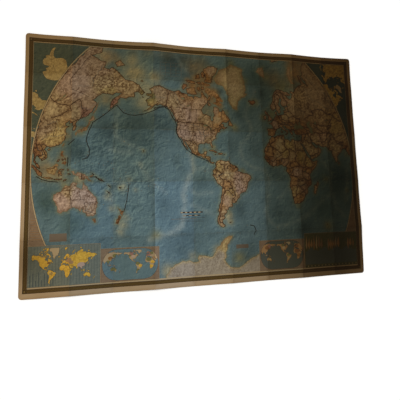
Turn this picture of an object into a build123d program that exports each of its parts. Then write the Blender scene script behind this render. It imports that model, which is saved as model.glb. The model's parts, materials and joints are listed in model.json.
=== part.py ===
from build123d import *
import math
import os

# A large printed map on one sheet of paper, opened out after long storage as a folded packet.
# It lies face up. X runs across the sheet, Y from its bottom edge to its top edge.
# The origin is under the middle of the sheet, level with the lowest paper. Lengths are in millimetres.

# The sheet
SHEET_WIDTH = 1080.0
SHEET_DEPTH = 750.0
PAPER_THICKNESS = 0.12
CORNER_RADIUS = 4.0

# The creases: a packet of equal panels, with one odd column at the left and one odd row at the bottom
FIRST_COLUMN = 130.0
COLUMN_PITCH = 120.0
FIRST_ROW = 156.0
ROW_PITCH = 159.0
NARROWEST_PANEL = 40.0

# Every second column crease is a ridge that stands up. Those between lie on the ground.
RIDGE_RISES = (7.0, 10.5, 6.5, 7.5)

# The same ridge is higher or lower where it meets the bottom edge, each row crease and the top edge
RIDGE_SHARES = (0.45, 1.0, 0.9, 0.8, 0.8, 1.0)
RIDGE_SAG = 0.8

# Row creases stand up less, from the bottom one to the top one, and rise towards the right edge
ROW_RISES = (6.5, 5.5, 4.0, 3.0)
ROW_SHARE_LEFT = 0.35
RIGHT_EDGE_LIFT = 4.5

# The two top corners curl up
CORNER_CURL = 7.0

# How the paper falls away from a crease, at each third of the way to the next one
CREASE_FALL = (1.0, 0.42, 0.1, 0.0)
STEPS = len(CREASE_FALL) - 1


def crease_lines(length, first, pitch):
    """Places along one side of the sheet: its start, every crease and its end."""
    lines = [0.0, first]
    while lines[-1] + pitch < length - NARROWEST_PANEL:
        lines.append(lines[-1] + pitch)
    return lines + [length]


def control_places(lines):
    """The creases and the thirds between them, where the shape of the paper is set."""
    places = [lines[0]]
    for start, end in zip(lines, lines[1:]):
        places += [start + (end - start) * step / STEPS for step in range(1, STEPS + 1)]
    return places


COLUMNS = crease_lines(SHEET_WIDTH, FIRST_COLUMN, COLUMN_PITCH)
ROWS = crease_lines(SHEET_DEPTH, FIRST_ROW, ROW_PITCH)
ACROSS = control_places(COLUMNS)
ALONG = control_places(ROWS)
LAST_ACROSS = len(ACROSS) - 1
LAST_ALONG = len(ALONG) - 1


def fall(steps):
    """Share of a crease's rise that is left some steps away from it."""
    return CREASE_FALL[min(abs(steps), STEPS)]


def ridge_share(b):
    """How high a ridge stands at one place along it, as a share of its own rise."""
    row, step = divmod(b, STEPS)
    near = RIDGE_SHARES[row % len(RIDGE_SHARES)]
    if step == 0:
        return near
    far = RIDGE_SHARES[(row + 1) % len(RIDGE_SHARES)]
    return RIDGE_SAG * (near + (far - near) * step / STEPS)


def ridge_height(a, b):
    """Height that the nearest standing column crease gives the paper."""
    ridges = range(1, len(COLUMNS) - 1, 2)
    shares = [RIDGE_RISES[(k // 2) % len(RIDGE_RISES)] * fall(a - STEPS * k) for k in ridges]
    return max(shares, default=0.0) * ridge_share(b)


def row_height(a, b):
    """Height that the nearest row crease gives the paper."""
    rows = range(1, len(ROWS) - 1)
    shares = [ROW_RISES[(j - 1) % len(ROW_RISES)] * fall(b - STEPS * j) for j in rows]
    across = a / LAST_ACROSS
    slant = ROW_SHARE_LEFT + (1.0 - ROW_SHARE_LEFT) * across
    return max(shares, default=0.0) * slant


def edge_height(a, b):
    """Height of the curled top corners and of the right edge, which stands off the ground."""
    side = max(fall(a), fall(LAST_ACROSS - a))
    corner = CORNER_CURL * side * fall(LAST_ALONG - b)
    right = RIGHT_EDGE_LIFT * fall(LAST_ACROSS - a) * min(1.0, b / STEPS)
    return max(corner, right)


def height(a, b):
    """Height of the paper's underside at one control place."""
    return math.hypot(ridge_height(a, b), row_height(a, b), edge_height(a, b))


def paper_point(a, b, lift):
    return (ACROSS[a] - SHEET_WIDTH / 2, ALONG[b] - SHEET_DEPTH / 2, height(a, b) + lift)


def panel(column, row, lift):
    """One panel between creases. Panels side by side share the control places of their common crease."""
    across = range(STEPS * column, STEPS * column + STEPS + 1)
    along = range(STEPS * row, STEPS * row + STEPS + 1)
    return Face.make_bezier_surface([[paper_point(a, b, lift) for b in along] for a in across])


def edge_wall(places):
    """The cut edge of the paper along one panel."""
    lower = [paper_point(a, b, 0.0) for a, b in places]
    upper = [paper_point(a, b, PAPER_THICKNESS) for a, b in places]
    return Face.make_bezier_surface([lower, upper])


def edge_walls():
    walls = []
    for column in range(len(COLUMNS) - 1):
        across = range(STEPS * column, STEPS * column + STEPS + 1)
        walls += [edge_wall([(a, b) for a in across]) for b in (0, LAST_ALONG)]
    for row in range(len(ROWS) - 1):
        along = range(STEPS * row, STEPS * row + STEPS + 1)
        walls += [edge_wall([(a, b) for b in along]) for a in (0, LAST_ACROSS)]
    return walls


def map_sheet():
    """The whole sheet as one closed solid, with its corners worn round."""
    faces = [
        panel(column, row, lift)
        for lift in (0.0, PAPER_THICKNESS)
        for column in range(len(COLUMNS) - 1)
        for row in range(len(ROWS) - 1)
    ]
    sheet = Solid(Shell(faces + edge_walls()))
    trim = extrude(RectangleRounded(SHEET_WIDTH, SHEET_DEPTH, CORNER_RADIUS), 100.0, both=True)
    return sheet & trim


os.makedirs("parts", exist_ok=True)
export_step(map_sheet(), "parts/map_sheet.step")
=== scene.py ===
import bisect
import json
import math
import random

import bmesh
import bpy
import numpy as np
from mathutils import Matrix, Vector, noise
from mathutils.bvhtree import BVHTree
from mathutils.geometry import delaunay_2d_cdt
from mathutils.kdtree import KDTree

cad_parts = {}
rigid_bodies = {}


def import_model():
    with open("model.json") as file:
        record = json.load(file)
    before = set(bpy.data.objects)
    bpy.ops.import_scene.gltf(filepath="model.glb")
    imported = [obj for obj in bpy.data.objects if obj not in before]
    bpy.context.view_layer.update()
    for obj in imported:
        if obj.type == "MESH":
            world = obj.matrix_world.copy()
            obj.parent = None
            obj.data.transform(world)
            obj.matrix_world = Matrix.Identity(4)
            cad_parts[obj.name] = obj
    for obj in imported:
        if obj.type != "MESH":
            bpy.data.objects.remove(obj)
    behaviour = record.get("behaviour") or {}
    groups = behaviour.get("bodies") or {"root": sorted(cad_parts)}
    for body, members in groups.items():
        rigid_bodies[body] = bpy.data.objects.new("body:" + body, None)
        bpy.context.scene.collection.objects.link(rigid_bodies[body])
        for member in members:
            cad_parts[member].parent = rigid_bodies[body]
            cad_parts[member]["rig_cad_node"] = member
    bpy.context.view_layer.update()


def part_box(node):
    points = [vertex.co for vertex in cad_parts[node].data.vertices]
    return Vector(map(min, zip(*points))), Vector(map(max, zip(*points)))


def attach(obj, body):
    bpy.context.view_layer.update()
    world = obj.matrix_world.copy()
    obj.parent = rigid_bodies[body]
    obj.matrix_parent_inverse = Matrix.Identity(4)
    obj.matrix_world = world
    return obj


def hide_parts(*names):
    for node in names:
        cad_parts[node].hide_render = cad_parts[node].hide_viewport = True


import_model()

bl_info = {
    "name": "Folded Paper Map",
    "version": (1, 0, 0),
    "blender": (4, 5, 0),
    "location": "3D View > Sidebar > Paper Map",
    "description": "Makes a large world map, printed on one sheet of old folded paper",
    "category": "Add Mesh",
}

# The sheet as the frame gives it
SHEET_LOW, SHEET_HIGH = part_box("map_sheet")

# The print is laid out in millimetres on the flat sheet, from its lower left corner
MM = 0.001
SHEET_WIDTH = (SHEET_HIGH.x - SHEET_LOW.x) / MM
SHEET_DEPTH = (SHEET_HIGH.y - SHEET_LOW.y) / MM

# Boxes on the sheet, as left, bottom, right and top
BAND_OUTSIDE = (10.0, 15.0, SHEET_WIDTH - 12.0, SHEET_DEPTH - 12.0)
BAND_WIDTH = 10.5
BAND_INSIDE = (
    BAND_OUTSIDE[0] + BAND_WIDTH,
    BAND_OUTSIDE[1] + BAND_WIDTH,
    BAND_OUTSIDE[2] - BAND_WIDTH,
    BAND_OUTSIDE[3] - BAND_WIDTH,
)
PRINT_BOX = (BAND_INSIDE[0] + 1.5, BAND_INSIDE[1] + 5.0, BAND_INSIDE[2] - 1.5, BAND_INSIDE[3] - 3.0)
LOW_PANEL_TOP = 123.0
HIGH_PANEL_TOP = 139.0
FLAT_WORLD = (PRINT_BOX[0], PRINT_BOX[1], 213.0, HIGH_PANEL_TOP)
FIRST_OVAL = (216.0, PRINT_BOX[1], 381.0, LOW_PANEL_TOP)
SECOND_OVAL = (703.0, PRINT_BOX[1], 857.0, LOW_PANEL_TOP)
HEIGHTS_CHART = (860.0, PRINT_BOX[1], PRINT_BOX[2], HIGH_PANEL_TOP)
PANELS = (FLAT_WORLD, FIRST_OVAL, SECOND_OVAL, HEIGHTS_CHART)

# Clusters of peaks in the chart, each from where to where along it, and how tall its peaks are
CHART_CLUSTERS = ((4.0, 60.0, 34.0), (84.0, 128.0, 29.0), (160.0, 180.0, 30.0))

# The round world: its middle on the sheet, its radius and the width of the strip round it, then the
# longitude down its middle, how far from there its limits lie, and the step of its net, in degrees
WORLD_MIDDLE = (542.0, 350.0)
WORLD_RADIUS = 518.0
WORLD_STRIP = 4.0
MIDDLE_LONGITUDE = -83.0
HALF_TURN = 179.9
NET_STEP = 15.0

# The height on the sheet below which the land is ice
ICE_TOP = 110.0

# The maps of the poles: how far each disc reaches from its pole, in degrees, its middle and radius on the
# sheet, the longitude that sets how the south one is turned, and how far the north one's lands are drawn
POLE_REACH = 60.0
SOUTH_MIDDLE = (76.0, 659.0)
SOUTH_RADIUS = 112.0
SOUTH_LONGITUDE = -63.0
NORTH_MIDDLE = (1014.0, 657.0)
NORTH_RADIUS = 85.0
NORTH_EDGE = 92.0

# The flat and the oval worlds: the longitude down the middle of each, and how the flat one is stretched
OVAL_LONGITUDE = -114.0
FLAT_LONGITUDE = 10.0
FLAT_STRETCH = 0.95
FLAT_LIMIT = 80.0

# The small maps leave out lands that print smaller than this, and points that print closer than this. All
# but the south one also leave out this land.
LEAST_POLE_LAND = 3.0
LEAST_PANEL_LAND = 2.2
LEAST_STEP = 1.0
NO_SOUTH = ("antarctica",)

# The longest run of a path, in degrees, before it is laid on the sheet: coasts, other lines, the small
# maps' lands, and lines whose closeness is measured
COAST_RUN = 3.0
LINE_RUN = 4.0
SMALL_MAP_RUN = 8.0
DENSE_RUN = 1.5

# The number of runs round the world's rim, the degrees from one tick on it to the next, and half the width
# of the diamonds in the band's corners, as a share of the band
RIM_RUNS = 540
RIM_TICK = 5
DIAMOND_SHARE = 0.34

# Widths of the fine lines whose width doesn't change with the settings
SMALL_COAST_LINE = 0.45
HAIR_LINE = 0.5
RULE_LINE = 0.7
SIDE_RULE_LINE = 1.1
BAR_LINE = 1.5

# Rules in the lower corners: how many, the lowest one's height, and the step from one to the next
SIDE_RULES = 9
SIDE_RULE_START = 158.0
SIDE_RULE_STEP = 6.5

# Plain blocks on the sea, and a table of thin rules, with its number of rules each way
NOTE_BLOCKS = ((76.0, 150.0, 122.0, 172.0), (624.0, 104.0, 665.0, 116.0), (420.0, 200.0, 500.0, 201.2))
NOTE_TABLE = (392.0, 646.0, 460.0, 690.0)
NOTE_TABLE_RULES = 5

# Scale bars on the sea: their middle, each bar's height on the sheet, number of blocks, block length and
# thickness, and each rule's height on the sheet and half its length
SCALE_MIDDLE = 484.0
SCALE_BARS = ((218.0, 10, 7.0, 3.4), (209.0, 6, 9.0, 2.2))
SCALE_RULES = ((203.0, 42.0), (196.0, 30.0), (192.0, 38.0))

# Patches of other tints on the small maps: a tint, a longitude, a latitude and a radius
FLAT_WORLD_PATCHES = (
    ("olive", -105, 70, 9), ("olive", -80, 66, 7), ("rose", 103, 27, 12), ("orange", 30, 55, 9),
    ("sienna", -75, 47, 4), ("olive", -62, -8, 6), ("rose", 118, 33, 6), ("orange", 45, 45, 7),
)
FIRST_OVAL_PATCHES = (
    ("moss", -225, 55, 7), ("sienna", -250, 40, 7), ("moss", -258, 20, 6), ("orange", -240, 30, 4),
    ("plum", -105, 60, 7), ("rose", -95, 45, 5), ("moss", -120, 50, 4), ("moss", -66, 2, 6),
    ("moss", -85, 58, 4), ("gold", -50, -12, 5), ("moss", -65, -36, 5), ("plum", 25, 58, 8),
    ("plum", 3, 48, 4), ("moss", 8, 24, 8), ("gold", 30, 8, 6), ("gold", 22, -18, 6),
    ("moss", -226, -24, 8), ("orange", 44, 32, 5), ("moss", 45, 60, 5),
)
SECOND_OVAL_PATCHES = (
    ("rust", -250, 50, 8), ("plum", -235, 60, 6), ("orange", -258, 30, 6), ("moss", -105, 62, 5),
    ("cream", -98, 45, 5), ("moss", -60, -3, 6), ("yellow", -63, -25, 5), ("rust", 15, 20, 9),
    ("sienna", 25, -8, 7), ("rust", 20, 52, 8), ("yellow", -226, -24, 5),
)

# Lands that have a mossy rim and are pale on the small maps, then those with little texture or a faint coast
PALE_LANDS = ("greenland",)
SMOOTH_LANDS = ("greenland", "antarctica", "svalbard", "severnaya_zemlya", "novaya_zemlya")
SOFT_COASTS = SMOOTH_LANDS + (
    "australia", "tasmania", "new_zealand_north", "new_zealand_south", "new_guinea", "new_britain", "borneo",
    "sakhalin", "hokkaido", "honshu", "kyushu", "shikoku", "taiwan", "luzon", "mindanao", "baffin", "devon",
)


def size(name, description, millimetres):
    """A length that a user may change, given in millimetres."""
    return bpy.props.FloatProperty(
        name=name, description=description, default=millimetres * MM, min=0.0, precision=5, unit="LENGTH"
    )


def ink(name, description, red, green, blue):
    """A colour that a user may change, as it looks on a screen, in parts of 255."""
    return bpy.props.FloatVectorProperty(
        name=name,
        description=description,
        default=(red / 255, green / 255, blue / 255),
        size=3,
        min=0.0,
        max=1.0,
        subtype="COLOR_GAMMA",
    )


class SheetSizes(bpy.types.PropertyGroup):
    first_column: size("First column", "Width of the odd panel at the left edge", 130.0)
    column_pitch: size("Column pitch", "Distance between the creases that run up the sheet", 120.0)
    first_row: size("First row", "Height of the odd panel at the bottom edge", 156.0)
    row_pitch: size("Row pitch", "Distance between the creases that run across the sheet", 159.0)
    narrowest_panel: size("Narrowest panel", "A crease lies at least this far from the far edge", 40.0)
    thickness: size("Thickness", "Thickness of the paper", 0.12)
    corner: size("Corner", "Radius that the corners have worn to", 9.0)
    mesh_step: size("Mesh step", "Distance between the points of the paper's mesh", 6.8)
    crease_half: size("Crease half width", "Half the width of the worn line along a crease", 1.2)
    valley: size("Valley", "How far the paper stands up beside a crease that lies on the ground", 0.9)
    cockle: size("Cockle", "How far the panels bulge from the damp of long storage", 0.9)
    cockle_length: size("Cockle length", "Distance from one bulge to the next", 95.0)


class PrintSizes(bpy.types.PropertyGroup):
    coast_step: size("Coast step", "Longest straight run of a coast", 2.6)
    border_step: size("Border step", "Longest straight run of a border or a river", 4.5)
    coast_line: size("Coast line", "Width of the line along the coasts", 1.5)
    border_line: size("Border line", "Width of the line between lands", 1.9)
    inner_line: size("Inner line", "Width of a border inside a land", 1.1)
    river_line: size("River line", "Width of a river", 0.6)
    trench_line: size("Trench line", "Width of the line along a trench", 2.4)
    frame_line: size("Frame line", "Width of a thin frame line", 0.6)
    isle: size("Isle", "Radius of a small island, which chance then varies", 0.9)
    shore_glow: size("Shore glow", "How far the pale water reaches from a coast", 5.5)
    ridge_glow: size("Ridge glow", "Half the width of a ridge on the ocean floor", 7.0)
    land_glow: size("Land glow", "How far the stronger tint reaches inland from a coast or border", 4.5)
    band_block: size("Band block", "Length of one block in the band round the print", 3.6)


class PrintInks(bpy.types.PropertyGroup):
    paper: ink("Paper", "Bare aged paper", 152, 132, 105)
    back: ink("Back", "The unprinted side of the paper", 168, 150, 122)
    sea: ink("Sea", "Open ocean", 84, 104, 109)
    deep: ink("Deep sea", "Ocean basins", 46, 60, 62)
    murky: ink("Murky sea", "Seas printed in a greener blue", 56, 73, 71)
    shallow: ink("Shallow sea", "Water over a shelf", 104, 104, 80)
    pale_shelf: ink("Pale shelf", "The palest shallow water", 138, 130, 104)
    brown_shelf: ink("Brown shelf", "Shallow water among the northern islands", 114, 90, 60)
    ridge: ink("Ocean ridge", "Ridges on the ocean floor", 116, 127, 124)
    dark: ink("Dark line", "Coasts, borders and thin frame lines", 44, 33, 26)
    soft_coast: ink("Soft coast", "Coasts that are printed faintly", 96, 80, 56)
    trench: ink("Trench", "Ocean trenches", 38, 36, 32)
    river: ink("River", "Rivers", 74, 88, 92)
    band: ink("Band", "Band round the whole print", 64, 49, 24)
    band_block: ink("Band blocks", "Small blocks along the band", 98, 80, 44)
    strip: ink("Strip", "Pale strips beside the band and round the world", 150, 133, 104)
    ground: ink("Panel ground", "Ground of the panels and of the lower corners", 114, 97, 78)
    corner_sea: ink("Corner blue", "Ground of the upper corners, darker in the right one", 71, 79, 70)
    panel_sea: ink("Panel sea", "Sea of the flat world, and in a darker shade the chart's floor", 96, 101, 92)
    olive: ink("Corner olive", "Lands in the upper right corner, and patches on the flat world", 158, 134, 78)
    block: ink("Note block", "Plain blocks and rules on the sea", 94, 84, 72)
    bar: ink("Bars", "Lines and bars on the flat world's sea", 52, 62, 66)
    gold: ink("Gold", "Lands in the first panel", 184, 148, 60)
    sienna: ink("Sienna", "Peaks in the chart, rules in the lower corners, and a land tint", 124, 90, 52)
    buff: ink("Buff", "Land tint", 146, 127, 98)
    pink: ink("Pink", "Land tint", 148, 126, 104)
    rose: ink("Rose", "Land tint", 152, 131, 116)
    cream: ink("Cream", "Land tint", 158, 141, 110)
    yellow: ink("Yellow", "Land tint", 152, 134, 92)
    orange: ink("Orange", "Land tint", 142, 112, 76)
    edge: ink("Land edge", "Stronger tint along coasts and borders", 108, 82, 58)
    rust: ink("Rust", "Land tint", 114, 82, 54)
    moss: ink("Moss", "Land tint", 100, 98, 62)
    plum: ink("Plum", "Land tint", 128, 96, 84)
    greyed: ink("Greyed", "Land tint", 136, 119, 96)
    ice: ink("Ice", "Land tint", 136, 127, 112)


class StageSettings(bpy.types.PropertyGroup):
    floor_width: bpy.props.FloatProperty(
        name="Floor width", description="Width of the pale floor", default=30.0, min=2.0, unit="LENGTH"
    )
    floor: ink("Floor", "Colour of the floor", 236, 235, 233)
    sky: bpy.props.FloatProperty(
        name="Sky light", description="Strength of the light from all round", default=0.5, min=0.0
    )
    lamp: bpy.props.FloatProperty(
        name="Lamp", description="Strength of the large soft lamp", default=2.2, min=0.0
    )
    lamp_softness: bpy.props.FloatProperty(
        name="Lamp softness",
        description="Angle that the lamp fills",
        default=math.radians(18),
        subtype="ANGLE",
    )
    lens: bpy.props.FloatProperty(
        name="Lens", description="Focal length in millimetres, on a 36 mm sensor", default=35.6, min=1.0
    )
    shift: bpy.props.FloatProperty(
        name="Lens shift", description="How far the view is moved down in the frame", default=-0.112
    )

# The coasts of the world, as longitude and latitude in degrees. Each outline is closed.
COASTS = {
    "africa": (
        (-5.9, 35.8), (-6.9, 34), (-9.3, 32.3), (-9.8, 30.6), (-12.9, 27.9), (-14.7, 25.6), (-16, 23.7),
        (-17, 21), (-16.1, 19.2), (-16.5, 16), (-17.5, 14.7), (-16.8, 12.5), (-15, 10.8), (-13.4, 9.2),
        (-12.6, 7.4), (-10.8, 6.3), (-7.7, 4.4), (-4, 5.2), (-2.1, 4.8), (1.2, 6.1), (4.3, 6.3), (5.5, 4.6),
        (7.1, 4.5), (8.6, 4.7), (9.7, 3.4), (9.6, 1.1), (8.8, -0.7), (11.1, -3.9), (12.3, -6), (13.2, -8.8),
        (13.8, -10.7), (12.4, -13.5), (11.8, -17.3), (13.4, -20.9), (14.5, -23), (15.1, -26.6),
        (17.3, -30.3), (18.4, -34), (20, -34.8), (25.7, -34), (28.5, -32.6), (31, -29.9), (32.8, -26),
        (35.5, -24.1), (35.4, -22), (34.9, -19.9), (37, -17.8), (40, -16.1), (40.7, -14.5), (40.4, -10.6),
        (39.3, -8), (39, -5.1), (40.9, -2.3), (42.5, -0.4), (45.3, 2), (48.5, 5.4), (49.8, 8), (51.3, 10.4),
        (51.2, 11.9), (49, 11.3), (45, 10.5), (43.2, 11.6), (42.7, 13), (39.5, 15.6), (37.2, 19.6),
        (36.6, 22.3), (35.5, 24), (33.8, 27.3), (32.5, 29.9), (32.3, 31.3), (31, 31.6), (29, 30.9),
        (25.1, 31.6), (22.6, 32.8), (20.1, 32.1), (20, 30.9), (18.6, 30.4), (15.3, 32.3), (11.5, 33.2),
        (10.1, 33.9), (10.9, 35), (11, 37), (9.8, 37.3), (3.1, 36.8), (-0.6, 35.8), (-2.9, 35.3),
        (-5.3, 35.9),
    ),
    "eurasia": (
        (-5.4, 36.1), (-7, 37.2), (-9, 37), (-9.4, 38.7), (-8.7, 41.2), (-9.3, 43), (-8, 43.7), (-3.8, 43.5),
        (-1.6, 43.4), (-1.2, 45.5), (-2.4, 47.3), (-4.6, 48), (-4.6, 48.6), (-1.6, 48.6), (-1.8, 49.7),
        (0.1, 49.5), (1.6, 50.8), (4.2, 52), (5.2, 53.3), (8.4, 53.8), (8.2, 55.5), (8.2, 57), (10.6, 57.7),
        (10.5, 56.3), (9.8, 54.8), (11, 54), (13.6, 54.5), (16.5, 54.5), (18.7, 54.4), (20, 54.9),
        (21.1, 56), (21.6, 57.5), (23, 57.4), (24.2, 57.2), (24, 58.6), (23.5, 59.2), (26, 59.6),
        (30.2, 59.9), (27.5, 60.5), (22.9, 59.9), (21.4, 61.2), (21.4, 63.1), (25.3, 65), (24.2, 65.8),
        (22, 65.5), (20.3, 63.7), (17.4, 62.4), (17.3, 60.7), (18.9, 59.8), (16.7, 58.5), (16.4, 56.7),
        (14.5, 55.5), (12.9, 55.6), (11.6, 57.9), (10.7, 59.3), (9.2, 58.9), (6.8, 58.1), (5.4, 59.2),
        (5.1, 61.7), (8.5, 63.4), (11.5, 64.9), (14, 67), (16.2, 68.5), (19.5, 69.9), (25.7, 71.1),
        (31.1, 70.3), (33.5, 69.4), (38.5, 68.3), (41.2, 67), (40.3, 66.3), (35, 66.5), (32.6, 67),
        (34.7, 65), (37.5, 63.9), (40.3, 64.6), (42.5, 66.3), (44.1, 66.1), (43.5, 68.5), (46, 68),
        (46.6, 67), (53.5, 68.6), (60.5, 69.2), (67, 68.9), (67, 71), (69.5, 73), (72.6, 72.6), (72.3, 69),
        (72.7, 66.9), (74.4, 67.8), (74.5, 72.2), (78, 72.3), (80.6, 73.6), (87, 75), (95.5, 76),
        (104.3, 77.7), (110, 76.6), (113.5, 75.6), (107, 73.4), (113.5, 73.5), (120.5, 73.1), (127, 73.6),
        (129.5, 71.3), (137, 71.4), (140, 72.6), (150.5, 71.5), (161, 69.5), (170, 70), (180, 69),
        (185, 67.3), (190.3, 66.1), (187, 64.4), (181.5, 66), (177.5, 64.7), (179.3, 62.3), (174.5, 61.8),
        (170.5, 60), (164.5, 59.8), (162, 57.8), (162.8, 56.2), (160, 53.2), (156.7, 51), (155.6, 54),
        (155.9, 56.8), (159.5, 59.5), (163.8, 62.4), (160.3, 61.8), (156.8, 61.5), (154.5, 59.6),
        (149, 59.6), (142.5, 59.2), (138.3, 56.5), (135.5, 54.7), (139.5, 54), (141.3, 53), (140.4, 50),
        (140.2, 48.2), (136, 44.5), (132.2, 43.1), (130, 42), (127.6, 39.6), (129.3, 37.3), (129.3, 35.3),
        (126.4, 34.4), (126.6, 37.4), (124.9, 38.2), (124.4, 39.9), (121.3, 38.9), (121.8, 40.7),
        (119.5, 39.7), (117.8, 38.8), (119.2, 37.3), (122.6, 37.3), (120, 35.6), (120.6, 33.5),
        (121.9, 31.6), (120.8, 30.3), (121.9, 29.3), (120, 26.5), (117.2, 23.6), (114.2, 22.4),
        (110.6, 21.4), (110.2, 20.3), (109.6, 21.5), (108.2, 21.6), (106.5, 20.3), (105.9, 18.6),
        (108.6, 15.9), (109.3, 12.5), (107.1, 10.4), (104.8, 8.6), (104.9, 10.3), (102.6, 12), (100.9, 13.4),
        (99.8, 12), (99.3, 9.6), (100.6, 7.2), (103.3, 4.7), (104.2, 1.3), (101.3, 2.9), (100.2, 6),
        (98.3, 8.2), (98.6, 12.5), (97.6, 16.3), (95.2, 15.8), (94.4, 17.7), (91.9, 21.7), (90.5, 22.4),
        (87.2, 21.4), (86, 19.9), (82.3, 16.7), (80.1, 15.2), (80.2, 12.5), (79.6, 10.2), (77.5, 8.1),
        (75.6, 11.6), (73.8, 15.5), (72.8, 19), (72.6, 21.4), (70.9, 20.8), (69, 22.3), (70, 22.9),
        (68, 23.8), (66.6, 25.2), (61.5, 25.1), (57.2, 26.8), (54.5, 26.6), (50.9, 29), (49, 30.4),
        (48, 29.4), (50.1, 26.5), (51.3, 26), (51.6, 24.8), (54, 24.2), (56.3, 26.3), (56.6, 24.6),
        (59.8, 22.5), (57.8, 19.6), (54.8, 17), (49.1, 14.4), (45, 12.8), (43.4, 12.7), (42.5, 16.7),
        (39.1, 21.4), (37, 25), (34.9, 28.1), (34.9, 29.5), (34.2, 27.8), (32.5, 29.9), (32.3, 31.3),
        (34.3, 31.4), (35.5, 33.9), (36, 36.3), (34.4, 36.7), (32.6, 36.1), (30.7, 36.9), (29.5, 36.3),
        (27.4, 37), (26.6, 38.5), (26.2, 40.2), (28.5, 40.8), (26, 40.9), (23.9, 40.4), (22.8, 40.4),
        (23.2, 39.1), (24, 37.8), (22.9, 36.5), (21.6, 36.9), (21, 38.4), (19.6, 40.3), (19.2, 42),
        (15.9, 43.6), (14.4, 45.2), (12.4, 45.3), (12.6, 44), (13.9, 42.8), (16.1, 41.8), (18.4, 40.2),
        (17, 40.5), (17.1, 39), (16, 37.9), (15.7, 40), (13.8, 41.2), (11.4, 42.3), (10.2, 43.9),
        (8.8, 44.4), (7, 43.5), (4.6, 43.4), (3.1, 42.6), (0.8, 40.8), (-0.3, 39.3), (0.1, 38.7),
        (-0.8, 37.7), (-2.2, 36.8),
    ),
    "britain": (
        (-5.6, 50.1), (-3.5, 50.3), (1.3, 51), (1.7, 52.7), (0.2, 53), (-0.3, 54.2), (-1.6, 55.3), (-3, 56),
        (-1.9, 57.5), (-4, 57.6), (-3.1, 58.6), (-5, 58.6), (-5.9, 57.2), (-5.5, 55.6), (-3.4, 54.9),
        (-3.1, 53.4), (-4.5, 53.2), (-4.2, 52.4), (-5.2, 51.8), (-3, 51.4), (-4.3, 51.1),
    ),
    "ireland": (
        (-6.3, 52.2), (-9.7, 51.5), (-10.2, 52.3), (-9.1, 53.2), (-10, 54.2), (-8.4, 54.5), (-7.4, 55.3),
        (-5.6, 54.6), (-6.1, 53.4),
    ),
    "iceland": (
        (-22.6, 63.9), (-18.7, 63.4), (-14.8, 64.4), (-13.7, 65.2), (-14.9, 66.3), (-18.5, 66), (-20.3, 66),
        (-22.6, 66.4), (-24.3, 65.5), (-21.9, 65),
    ),
    "svalbard": ((11, 79.5), (14, 77.6), (16.8, 76.6), (21.3, 78.4), (27, 80.1), (18, 80.3)),
    "franz_josef_land": ((47.5, 80.4), (58, 79.9), (63, 80.8), (54, 81.6)),
    "novaya_zemlya": (
        (51.8, 71.5), (57.4, 70.6), (56.2, 72.6), (60.5, 74.6), (68.6, 76.6), (66, 77), (57, 75.6),
        (53.5, 73.6),
    ),
    "severnaya_zemlya": ((93.5, 79.5), (99.5, 77.9), (105, 78.8), (97, 81.1)),
    "new_siberia": ((137.5, 74.6), (143, 73.4), (150.5, 75), (140.5, 76)),
    "wrangel": ((178.6, 71), (182.5, 71), (180.5, 71.6)),
    "sakhalin": ((142, 46.1), (143.3, 49.2), (143.2, 52.3), (142.6, 54.3), (141.8, 51.8), (142.1, 48.6)),
    "hokkaido": ((140.1, 41.6), (143.2, 42), (145.5, 43.3), (142, 45.4), (141.4, 43.3), (139.9, 42.6)),
    "honshu": (
        (141.4, 41.4), (142, 39.6), (141, 38.2), (140.8, 35.8), (138.7, 34.7), (137, 34.6), (135.8, 33.5),
        (135, 34.6), (132.4, 34.1), (130.9, 34), (132.4, 35.4), (136, 35.7), (136.9, 37.3), (138.6, 37.4),
        (139.9, 39), (140, 40.9),
    ),
    "kyushu": ((130.9, 33.9), (131.9, 33), (131.2, 31.3), (130.2, 31.2), (129.7, 32.9)),
    "shikoku": ((132.4, 33.4), (133.9, 34.4), (134.7, 33.9), (133, 32.7)),
    "taiwan": ((121.6, 25.2), (121.3, 23.2), (120.8, 22), (120.1, 23.2), (121, 25)),
    "hainan": ((108.7, 19.2), (109.6, 18.2), (111, 19.8), (109.6, 20)),
    "luzon": (
        (120.6, 18.5), (122.2, 18.4), (121.6, 15.9), (124.1, 12.7), (121.8, 13.9), (120.6, 13.8),
        (119.9, 16.2),
    ),
    "samar": ((124.4, 12.5), (125.7, 11.3), (125.2, 10.1), (124.4, 11)),
    "panay": ((121.9, 11.8), (123.4, 11), (123.2, 9.2), (122.2, 10.2)),
    "mindanao": ((123.5, 8.7), (125.5, 9.7), (126.5, 7.6), (125.5, 5.7), (124, 6.6), (122, 7), (122.6, 8.1)),
    "palawan": ((117.2, 8.4), (119.5, 11.3), (119.7, 10.6), (117.9, 8.5)),
    "borneo": (
        (109.6, 2), (111.4, 2.4), (113, 3.2), (115.2, 5.2), (116.8, 7), (119.2, 5.3), (117.8, 3.8),
        (118.9, 1), (117.5, 0.2), (116.2, -3.8), (114.5, -4.1), (111.7, -3.4), (110.1, -1.6), (109.1, 0.2),
    ),
    "sulawesi": (
        (119.8, 0.6), (121, 1.2), (125.1, 1.6), (124, 0.3), (120.7, 0.4), (120.6, -1), (123.4, -0.9),
        (121.6, -2), (122.6, -3.8), (122.4, -5.3), (121.4, -4.6), (120.9, -2.9), (120.3, -5.6),
        (119.4, -5.4), (119.3, -3.3), (119.4, -1),
    ),
    "sumatra": (
        (95.3, 5.6), (97.6, 5.2), (100.4, 2.7), (103.6, -0.4), (106, -3.2), (105.8, -5.8), (104.4, -5.9),
        (101.6, -3.2), (100.2, -0.9), (98.7, 1.7), (96.2, 3.7),
    ),
    "java": (
        (105.3, -6.6), (108.6, -6.6), (111, -6.3), (114.5, -7.7), (114.4, -8.7), (108.5, -7.9), (105.4, -7),
    ),
    "flores": ((115.1, -8.2), (119.5, -8.2), (122.9, -8), (122.6, -8.8), (117, -9.1), (115.2, -8.8)),
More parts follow.
